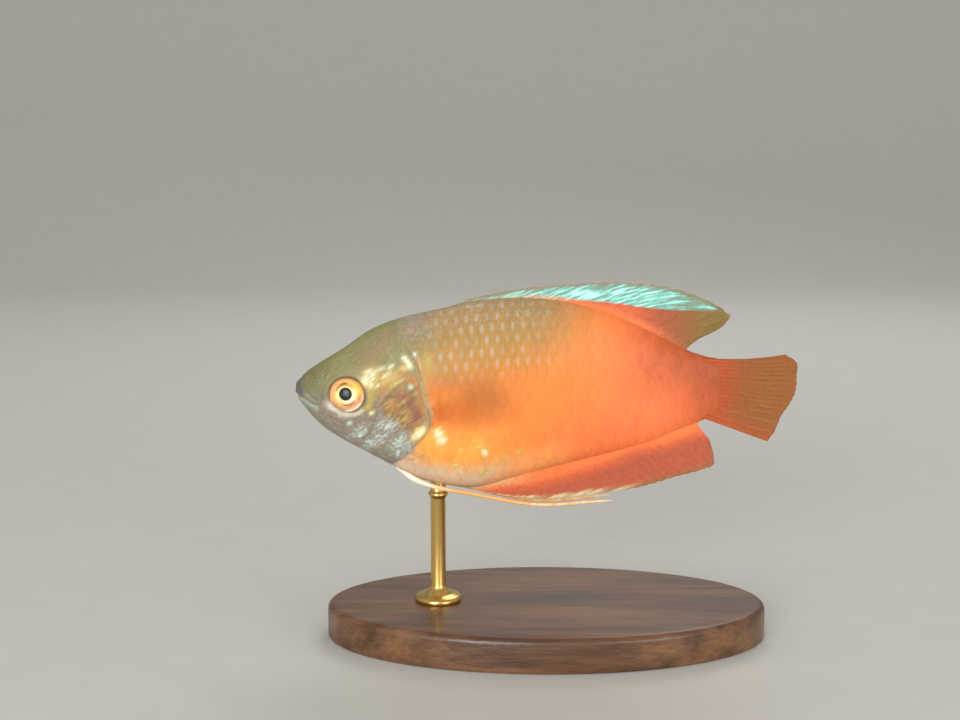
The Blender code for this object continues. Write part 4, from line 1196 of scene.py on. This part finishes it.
# The lie of the bright streaks on the fins of back and belly, as one streak's way, and the streaks' size
DORSAL_STREAK = [
    (20.0, 0.0), (36.0, 7.0), (46.0, 11.2), (50.0, 12.6), (54.0, 13.4), (58.0, 13.4), (63.0, 12.6),
]
ANAL_STREAK = [(20.0, 0.0), (40.0, 9.0), (62.0, 18.0)]
LEVEL_STREAK = [(0.0, 0.0), (80.0, 0.0)]
STREAK_BREADTH, STREAK_LENGTH = 0.34, 2.2
# The lower edge of the dorsal fin's turquoise band, and the outer edges of the fins' scaled roots
BAND_FLOOR = [
    (22.0, 11.2), (28.0, 11.9), (36.0, 12.3), (45.8, 11.8), (49.3, 11.3), (53.0, 10.9), (57.6, 10.7),
    (62.0, 10.6),
]
ANAL_SHEATH = [
    (24.0, -15.6), (28.6, -14.7), (33.7, -14.0), (38.9, -12.7), (44.1, -11.0), (49.3, -9.0), (53.0, -8.2),
    (58.0, -6.4),
]
DORSAL_SHEATH = [(22.0, 11.4), (36.0, 12.6), (45.0, 10.9), (50.0, 9.0), (54.0, 7.0), (56.5, 5.6)]


def key_values(keys, share):
    """The base place, tip reach and tip height of the ray at a share along a fin."""
    keys = np.array(keys)
    return np.moveaxis(smooth_through(keys[:, 0], keys[:, 1:], share), -1, 0)


def middle_fin_point(keys, edge, bow, sweep):
    """The middle surface of a fin along the back or the belly; edge picks which."""
    def point(share, along):
        root, tip_reach, tip_height = key_values(keys, share)
        height = section(root)[edge] + (0.6 if edge else -0.6)
        x = root + (tip_reach - root) * along
        z = height + (tip_height - height) * along + bow * along * (1 - along)
        return np.stack([x, sweep * share**2 * along**2, z], -1)

    return point


def tail_point(share, along):
    """The middle surface of the tail fin."""
    root, tip_reach, tip_height = key_values(TAIL_KEYS, share)
    x = TAIL_REACH + (tip_reach - TAIL_REACH) * along
    z = root + (tip_height - root) * along - 1.6 * (1 - share) ** 2 * along * (1 - along)
    return np.stack([x, 0.8 * along**2 * np.sin(2.4 * share), z], -1)


def pectoral_point(side):
    """The middle surface of a pectoral fin, which lies back along the flank and stands off it a little."""
    def point(share, along):
        root, tip_reach, tip_height = key_values(PECTORAL_KEYS, share)
        x = PECTORAL_REACH + (tip_reach - PECTORAL_REACH) * along
        z = root + (tip_height - root) * along
        base = flank(np.full(np.shape(root), PECTORAL_REACH), root)
        out = base - 0.25 + 0.6 * np.minimum(along * 6, 1)
        out = out + (x - PECTORAL_REACH) * PECTORAL_SPREAD - 0.8 * along**2
        return np.stack([x, side * out, z], -1)

    return point


def branch_spread(along, forked):
    """How far a ray's first and second forks have parted, in shares of the space between rays."""
    first = 0.25 * rise_between(0.3, 0.75, along) * forked
    second = 0.12 * rise_between(0.65, 1.0, along) * forked
    return first, second


def ray_ridge(at, along, forked, width):
    """How strongly a place stands on a ray, from 0 to 1."""
    off = at - np.round(at)
    first, second = branch_spread(along, forked)
    narrow = width * (1 - 0.55 * along)
    ridge = np.zeros(np.shape(at))
    for a in (-1, 1):
        for b in (-1, 1):
            for beyond in (0, np.where(off >= 0, 1.0, -1.0)):
                ridge = np.maximum(ridge, hump(off - beyond - a * first - b * second, narrow))
    return ridge


def line_height(points, reach):
    """The height of a line at places along the body."""
    points = np.array(points)
    return smooth_through(points[:, 0], points[:, 1], reach)


def fin(name, point, build, finish, slot, tint, streak):
    """One fin: a thin closed membrane with its rays as ridges, which fork outwards where they are soft."""
    rays, spines, root_half, ray_stand, dip = build
    columns = (rays - 1) * COLUMNS_PER_RAY + 1
    at, along = np.meshgrid(np.linspace(0, rays - 1, columns), np.linspace(0, 1, FIN_ROWS), indexing="ij")
    forked = rise_between(spines - 1, spines + 1, at)
    share = at / (rays - 1)
    between_tips = np.sin(np.pi * at) ** 2 * rise_between(0, 0.5, np.minimum(at, rays - 1 - at))
    reached = along * (1 - dip * along**3 * between_tips * (1 + 1.5 * (1 - forked)))
    middle = point(share, reached)
    tinted = tint(middle[..., 0], middle[..., 2], along, share)
    ridge = ray_ridge(at, along, forked, RAY_WIDTH) * (1 - 0.85 * tinted["fin_sheath"])
    du, dv = np.gradient(middle, axis=0), np.gradient(middle, axis=1)
    normal = np.cross(du, dv)
    normal /= np.maximum(np.linalg.norm(normal, axis=-1, keepdims=True), 1e-9)
    slack = FIN_SLACK * np.sin(2 * np.pi * at) * along * rise_between(1.0, 0.85, along)
    middle = middle + normal * slack[..., None]
    half = root_half * (1 - along) ** 3 + FIN_TIP_HALF * (1 - 0.4 * along)
    half = half + ridge * ray_stand * (1 - 0.75 * along)
    front, rear = middle + normal * half[..., None], middle - normal * half[..., None]
    faces = sheet_faces(columns, FIN_ROWS)
    points = np.concatenate([front.reshape(-1, 3), rear.reshape(-1, 3)])
    run = np.linalg.norm(dv, axis=-1).cumsum(axis=1)
    across = middle[..., 2] - line_height(streak, middle[..., 0])
    marks = {"ray": ridge, "ray_run": run, **tinted}
    marks["streak_across"] = across / STREAK_BREADTH
    marks["streak_run"] = run / STREAK_LENGTH
    marks = {key: np.concatenate([v.ravel(), v.ravel()]) for key, v in marks.items()}
    return make_piece(name, points, faces, finish, marks)


FIN_MARKS = ("band", "dull", "warm", "deep", "clear", "edge", "pale", "sheath", "gold")


def fin_tint(along, **shares):
    """A fin's marks: the ones given, and 0 for the rest."""
    return {f"fin_{name}": shares.get(name, 0.0) + 0 * along for name in FIN_MARKS}


def dorsal_tint(reach, height, along, share):
    """The dorsal fin: a turquoise band over red, and a clear brown tip."""
    top = line_height([key[2:] for key in DORSAL_KEYS[:8]], reach) - height
    over = height - line_height(BAND_FLOOR, reach)
    over_root = height - line_height(DORSAL_SHEATH, reach)
    on_band = rise_between(-0.15, 0.2, over) * rise_between(0.02, 0.16, top)
    return fin_tint(
        along,
        band=on_band * rise_between(60.8, 59.0, reach),
        dull=0.35 * rise_between(50.5, 57, reach) + 0.5 * rise_between(0.9, 0.2, top),
        warm=0.85 * rise_between(57, 48, reach),
        deep=rise_between(46, 53.5, reach),
        clear=rise_between(53.5, 60, reach),
        edge=rise_between(0.3, 0.1, top),
        sheath=0.85 * rise_between(0.8, -0.6, over_root) * rise_between(57, 47, reach),
    )


def anal_tint(reach, height, along, share):
    """The anal fin: body colour at its scaled root, deeper red outwards, short pale stripes at its rim."""
    over_root = height - line_height(ANAL_SHEATH, reach)
    return fin_tint(
        along,
        warm=1.0,
        deep=rise_between(0.2, -2.4, over_root),
        clear=0.6 * rise_between(0.85, 1.0, along),
        pale=rise_between(0.78, 0.95, along) * rise_between(0.7, 0.4, share),
        sheath=rise_between(-0.9, 0.5, over_root),
        gold=rise_between(36.0, 27.0, reach),
    )


def tail_tint(reach, height, along, share):
    """The tail fin: red root, clear brown middle, redder edges."""
    inner = rise_between(0.5, 0.25, np.abs(share - 0.45))
    return fin_tint(
        along,
        deep=rise_between(0.12, 0.55, along) * rise_between(1.02, 0.85, share),
        clear=rise_between(0.25, 0.9, along) * (0.5 + 0.5 * inner),
    )


def pectoral_tint(reach, height, along, share):
    """The pectoral fin is nearly clear all over, and clearest at its edges."""
    edges = rise_between(0.1, 0.5, np.abs(share - 0.5))
    return fin_tint(along, clear=np.maximum(rise_between(0.3, 0.95, along), edges))


# The turquoise band's streaks: colour, and where on the streaks it begins and is full
BAND_STREAKS = [("#88CCBE", 0.05, 0.45), ("#A2EEDF", 0.4, 0.8), ("#CCFFF8", 0.72, 1.0)]
BAND_GROUND, BAND_DULL_GROUND = "#86A598", "#86805A"
WARM_RED, WARM_DEEP = "#E66C3E", "#BC5A3C"
PALE_STRIPE, FIN_EDGE = "#E0D2A0", "#A08458"
ROOT_ORANGE, ROOT_GOLD = "#F88448", "#EAB878"


def fin_colour(tree, base, deep, clear):
    """A fin's colour: red, deeper outwards, a clear tip, and the band, stripes and scaled root over it."""
    ray, band, dull, warm = carried(tree, "ray", "fin_band", "fin_dull", "fin_warm")
    deepened, thinned, pale, edge = carried(tree, "fin_deep", "fin_clear", "fin_pale", "fin_edge")
    gold, sheath, across, run = carried(tree, "fin_gold", "fin_sheath", "streak_across", "streak_run")
    spot = add(tree, "ShaderNodeCombineXYZ", None, {"X": across, "Y": run})
    noise = add(tree, NOISE, None, {"Vector": spot, "Scale": 1.0, "Detail": 3.0, "Distortion": 0.2})
    streaks = where(tree, (noise, 0.34, 0.66))
    colour = laid_over(tree, linear(base), WARM_RED, warm)
    colour = laid_over(tree, colour, laid_over(tree, linear(deep), WARM_DEEP, warm), deepened)
    colour = laid_over(tree, colour, clear, thinned)
    colour = toned(tree, colour, ray, 1.03, 0.88)
    colour = laid_over(tree, colour, laid_over(tree, linear(BAND_GROUND), BAND_DULL_GROUND, dull), band)
    streaks = add(tree, MATH, {"operation": "SUBTRACT"}, {0: streaks, 1: dull})
    for paint, none, full in BAND_STREAKS:
        colour = laid_over(tree, colour, paint, where(tree, band, (streaks, none, full)))
    colour = laid_over(tree, colour, PALE_STRIPE, broken(tree, pale, streaks, 0.8, 0.9))
    colour = laid_over(tree, colour, FIN_EDGE, edge)
    colour = laid_over(tree, colour, laid_over(tree, linear(ROOT_ORANGE), ROOT_GOLD, gold), sheath)
    return toned(tree, colour, grain(tree, 0.5, 3.0), 0.92, 1.08)


def fin_solidity(tree, solid, thin):
    """How much of a fin's skin stops the light: less where it is clear, more on its rays and its band."""
    ray, band, thinned = carried(tree, "ray", "fin_band", "fin_clear")
    skin_share = add(tree, RANGE, None, {"Value": thinned, "To Min": solid, "To Max": thin})
    on_rays = {0: ray, 1: where(tree, skin_share, 0.4), 2: skin_share}
    with_rays = add(tree, MATH, {"operation": "MULTIPLY_ADD"}, on_rays)
    return add(tree, MATH, {"operation": "MAXIMUM"}, {0: with_rays, 1: band})


def fin_finish(name, base, deep, clear, solid, thin):
    """Fin skin: a thin membrane that glows with the light behind it, with deeper-coloured jointed rays."""
    made, tree = new_finish(name)
    colour = fin_colour(tree, base, deep, clear)
    jointed = rippled(tree, carried(tree, "ray_run")[0], RAY_JOINTS, 0.15, 0.01)
    gloss = {"Roughness": 0.5, "IOR": 1.4, "Coat Weight": 0.08, "Coat Roughness": 0.35}
    shader = add(tree, PRINCIPLED, None, {"Base Color": colour, "Normal": jointed, **gloss})
    glow = add(tree, "ShaderNodeBsdfTranslucent", None, {"Color": colour})
    lit = add(tree, MIX_SHADER, None, {0: 0.15, 1: shader, 2: glow})
    film = add(tree, "ShaderNodeBsdfTransparent")
    mixed = add(tree, MIX_SHADER, None, {0: fin_solidity(tree, solid, thin), 1: film, 2: lit})
    add(tree, OUTPUT, None, {"Surface": mixed})
    return made


# Fin skins: colour at the root, further out and where clear, and how solid at the root and where clear
FIN_SKINS = {
    "red fin skin": ("#BC562A", "#A25E34", "#8A7038", 0.98, 0.93),
    "brown fin skin": ("#BC5426", "#A05A2C", "#9E602A", 0.98, 0.93),
    "clear fin skin": ("#D07C30", "#D07C30", "#D8954A", 0.2, 0.05),
}


def fins():
    """Every fin but the thread-like pelvic pair."""
    red, brown, clear = [fin_finish(name, *row) for name, row in FIN_SKINS.items()]
    middle_fins = [
        ("dorsal_fin", middle_fin_point(DORSAL_KEYS, 0, 0.9, 0.5), red, dorsal_tint, DORSAL_STREAK),
        ("anal_fin", middle_fin_point(ANAL_KEYS, 1, -0.7, -0.45), red, anal_tint, ANAL_STREAK),
        ("tail_fin", tail_point, brown, tail_tint, LEVEL_STREAK),
    ]
    for name, point, finish, tint, streak in middle_fins:
        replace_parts(fin(f"{name}_skin", point, FIN_BUILDS[name], finish, "red_fin", tint, streak), name)
    for name, side in SIDES.items():
        pectoral = (pectoral_point(side), FIN_BUILDS["pectoral_fin"], clear, "clear_fin")
        made = fin(f"pectoral_fin_skin_{name}", *pectoral, pectoral_tint, LEVEL_STREAK)
        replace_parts(made, f"pectoral_fin_{name}")


# The thread-like pelvic fins

THREAD_SIDES, THREAD_STEPS = 20, 260
THREAD_CREAM, THREAD_GOLD, THREAD_FLECK = "#F2E6D2", "#E9A85C", "#E8DFB4"


def thread_skin():
    """The skin of a thread-like fin: cream at its root, gold further out, with faint joints."""
    made, tree = new_finish("gold fin thread")
    along, run = carried(tree, "thread_along", "thread_run")
    colour = laid_over(tree, linear(THREAD_CREAM), THREAD_GOLD, where(tree, (along, 0.08, 0.3)))
    colour = laid_over(tree, colour, THREAD_FLECK, broken(tree, along, grain(tree, 0.9), 0.8, 0.6))
    held = {"Base Color": colour, "Normal": rippled(tree, run, THREAD_JOINTS, 0.2, 0.02)}
    shader = add(tree, PRINCIPLED, None, {**held, "Roughness": 0.4, "Coat Weight": 0.3})
    add(tree, OUTPUT, None, {"Surface": shader})
    return made


def thread(name, side, finish):
    """One thread-like fin, tapered along its smooth run."""
    keys = np.array(FEELER)
    keys[0] += (-0.5, 0.5, 0, 0)
    run = np.concatenate([[0], np.cumsum(np.linalg.norm(np.diff(keys[:, :3], axis=0), axis=1))])
    at = np.linspace(0, run[-1], THREAD_STEPS)
    reach, height, out, radius = smooth_through(run, keys, at).T
    line = np.stack([reach, side * out, height], -1)
    ahead = np.gradient(line, axis=0)
    ahead /= np.linalg.norm(ahead, axis=1, keepdims=True)
    sideways = np.cross(ahead, (0, 0, 1.0))
    sideways /= np.linalg.norm(sideways, axis=1, keepdims=True)
    upward = np.cross(sideways, ahead)
    angle = np.linspace(0, 2 * np.pi, THREAD_SIDES, endpoint=False)
    wave = 1 + 0.06 * np.sin(at * 5.2) * rise_between(0, 8, at)
    radius = radius * wave * np.sqrt(rise_between(run[-1] + 0.05, run[-1] - 1.5, at))
    around = np.cos(angle)[None, :, None] * sideways[:, None] * 0.85
    ring = around + np.sin(angle)[None, :, None] * upward[:, None]
    points = line[:, None] + ring * radius[:, None, None]
    faces = closed_faces(THREAD_STEPS, THREAD_SIDES)
    passed = np.repeat(at, THREAD_SIDES)
    marks = {"thread_along": passed / run[-1], "thread_run": passed}
    made = make_piece(f"pelvic_thread_{name}", points.reshape(-1, 3), faces, finish, marks)
    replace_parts(made, f"pelvic_fin_{name}")


def threads():
    """The left and right thread-like fins."""
    finish = thread_skin()
    for name, side in SIDES.items():
        thread(name, side, finish)


# The stand

STAND_SIDES = 160
WALNUT_DARK, WALNUT_PALE, BRASS = "#4A2E1C", "#7E5636", "#D9B46A"


def walnut():
    """Oiled walnut: brown bands of grain along the base, fine open pores, and a satin sheen."""
    made, tree = new_finish("oiled walnut")
    colour = laid_over(tree, linear(WALNUT_DARK), WALNUT_PALE, grain(tree, 3.2, 5.0, (9, 1, 1)))
    colour = toned(tree, colour, grain(tree, 0.45, 3.0, (16, 1, 1)), 0.78, 1.18)
    open_pores = {"Height": grain(tree, 0.2, 2.0, (14, 1, 1)), "Strength": 0.3, "Distance": 0.05 * MM}
    held = {"Base Color": colour, "Normal": add(tree, BUMP, None, open_pores)}
    shader = add(tree, PRINCIPLED, None, {**held, "Roughness": 0.38, "Coat Weight": 0.15})
    add(tree, OUTPUT, None, {"Surface": shader})
    return made


def brass():
    """Satin brass rod, turned on a lathe, with faint rings from the tool, 0.1 mm apart."""
    made, tree = new_finish("turned brass")
    rings = {"Height": grain(tree, 0.1, 2.0, (40, 40, 1)), "Strength": 0.15, "Distance": 0.02 * MM}
    held = {"Base Color": linear(BRASS), "Normal": add(tree, BUMP, None, rings)}
    shader = add(tree, PRINCIPLED, None, {**held, "Roughness": 0.28, "Metallic": 1.0})
    add(tree, OUTPUT, None, {"Surface": shader})
    return made


def lathed(name, rings, finish, crisp):
    """A piece from rings of (reach, x half width, y half width, height) in millimetres over the floor."""
    angles = np.linspace(0, 2 * np.pi, STAND_SIDES, endpoint=False)
    points = [
        np.stack([x + rx * np.cos(angles), ry * np.sin(angles), np.full(STAND_SIDES, z - SNOUT.z)], -1)
        for x, rx, ry, z in rings
    ]
    made = make_piece(name, np.concatenate(points), closed_faces(len(rings), STAND_SIDES), finish)
    made.data.set_sharp_from_angle(angle=math.radians(crisp))
    return made


def oval_base(finish):
    """The oval base: a small round below, a larger one above, and a flat top."""
    steps = np.linspace(0, np.pi / 2, 9)
    lower = [(BASE_EDGE * 0.5 * (1 - math.sin(a)), BASE_EDGE * 0.5 * (1 - math.cos(a))) for a in steps]
    upper = [(BASE_EDGE * (1 - math.cos(a)), BASE_THICKNESS - BASE_EDGE * (1 - math.sin(a))) for a in steps]
    inner = [(BASE_EDGE + k, BASE_THICKNESS) for k in (1.0, 3.0, 7.0, 12.0)]
    rings = [(-SNOUT.x, BASE_LENGTH / 2 - k, BASE_WIDTH / 2 - k, z) for k, z in lower + upper + inner]
    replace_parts(lathed("oval_base", rings, finish, 40), "stand_base")


def rod(finish):
    """The rod with its turned foot and the collar under the belly."""
    foot = BASE_THICKNESS
    top = SNOUT.z + section(np.array(ROD_REACH))[1] + 0.35
    plate = [(FOOT_RADIUS - 0.1, 0.0), (FOOT_RADIUS, 0.12), (FOOT_RADIUS, 0.62), (FOOT_RADIUS - 0.3, 0.9)]
    neck = [(2.2, 1.05), (1.9, 1.25), (1.75, 1.5), (1.5, 1.62), (1.22, 1.9), (ROD_RADIUS, 2.4)]
    collar = [(ROD_RADIUS, 2.6), (1.2, 2.3), (1.42, 2.1), (1.42, 1.75), (1.2, 1.55), (ROD_RADIUS, 1.3)]
    rings = [(ROD_REACH, r, r, foot + h) for r, h in plate + neck]
    rings += [(ROD_REACH, r, r, top - h) for r, h in collar + [(ROD_RADIUS, 0.0)]]
    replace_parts(lathed("turned_rod", rings, finish, 50), "stand_rod")


# The stage

# The pale sweep, in metres: how far it runs forward and sideways, where it turns up, and its wall's height
SWEEP_FRONT, SWEEP_SIDE, SWEEP_BACK, SWEEP_CURVE, SWEEP_TOP = -1.2, 2.5, 0.55, 0.6, 2.2
FLOOR_GREY, ROOM_WHITE, ROOM_STRENGTH = "#CBCAC4", "#F2F1EC", 0.6
# Soft square lamps: name, place and size in metres, and power in watts
LAMPS = [
    ("key lamp", (-0.2, -0.56, 0.15), 0.26, 2.5),
    ("fill lamp", (0.36, -0.48, 0.08), 0.3, 1.3),
    ("rim lamp", (0.1, 0.4, 0.45), 0.3, 0.9),
]


def aim(made, place, target):
    """Puts a camera or lamp at a place and turns it to a target."""
    made.location = place
    made.rotation_mode = "QUATERNION"
    made.rotation_quaternion = (Vector(target) - Vector(place)).to_track_quat("-Z", "Y")


def camera():
    """A side view from slightly above, framed as the picture is."""
    data = bpy.data.cameras.new("camera")
    data.lens, data.sensor_width = FOCAL, SENSOR
    data.clip_start, data.clip_end = 0.01, 10
    made = in_scene("camera", data)
    aim(made, in_place((AIM_REACH, -CAMERA_OUT, CAMERA_HEIGHT)), in_place((AIM_REACH, 0, AIM_HEIGHT)))
    bpy.context.scene.camera = made


def lamp(name, place, size, power):
    """A soft square lamp that faces the fish."""
    data = bpy.data.lights.new(name, "AREA")
    data.size = size
    data.energy = power
    aim(in_scene(name, data), place, (0, 0, SNOUT.z * MM))


def sweep(finish):
    """A floor that turns up behind the model into a wall, so that no edge shows."""
    bend = np.linspace(0, np.pi / 2, 25)
    profile = [(SWEEP_FRONT, 0.0)]
    profile += [(SWEEP_BACK + SWEEP_CURVE * math.sin(a), SWEEP_CURVE * (1 - math.cos(a))) for a in bend]
    profile += [(SWEEP_BACK + SWEEP_CURVE, SWEEP_TOP)]
    corners = [(x, y, z) for y, z in profile for x in (-SWEEP_SIDE, SWEEP_SIDE)]
    mesh = bpy.data.meshes.new("floor")
    mesh.from_pydata(corners, [], [(k, k + 1, k + 3, k + 2) for k in range(0, len(corners) - 2, 2)])
    mesh.shade_smooth()
    mesh.materials.append(finish)
    in_scene("floor", mesh)


def matt_paint():
    """Matt pale paint, a touch warm, with a breath of unevenness."""
    made, tree = new_finish("matt floor paint")
    colour = toned(tree, linear(FLOOR_GREY), grain(tree, 9.0, 3.0), 0.99, 1.01)
    shader = add(tree, PRINCIPLED, None, {"Base Color": colour, "Roughness": 0.85})
    add(tree, OUTPUT, None, {"Surface": shader})
    return made


def stage():
    """A pale sweep, a pale room and soft lamps."""
    world = bpy.data.worlds.new("room")
    bpy.context.scene.world = world
    world.use_nodes = True
    room = world.node_tree.nodes["Background"]
    room.inputs["Color"].default_value = linear(ROOM_WHITE)
    room.inputs["Strength"].default_value = ROOM_STRENGTH
    sweep(matt_paint())
    for row in LAMPS:
        lamp(*row)
    bpy.context.scene.view_settings.view_transform = "Standard"


skin(wet_skin())
coat()
eyes()
fins()
threads()
oval_base(walnut())
rod(brass())
camera()
stage()
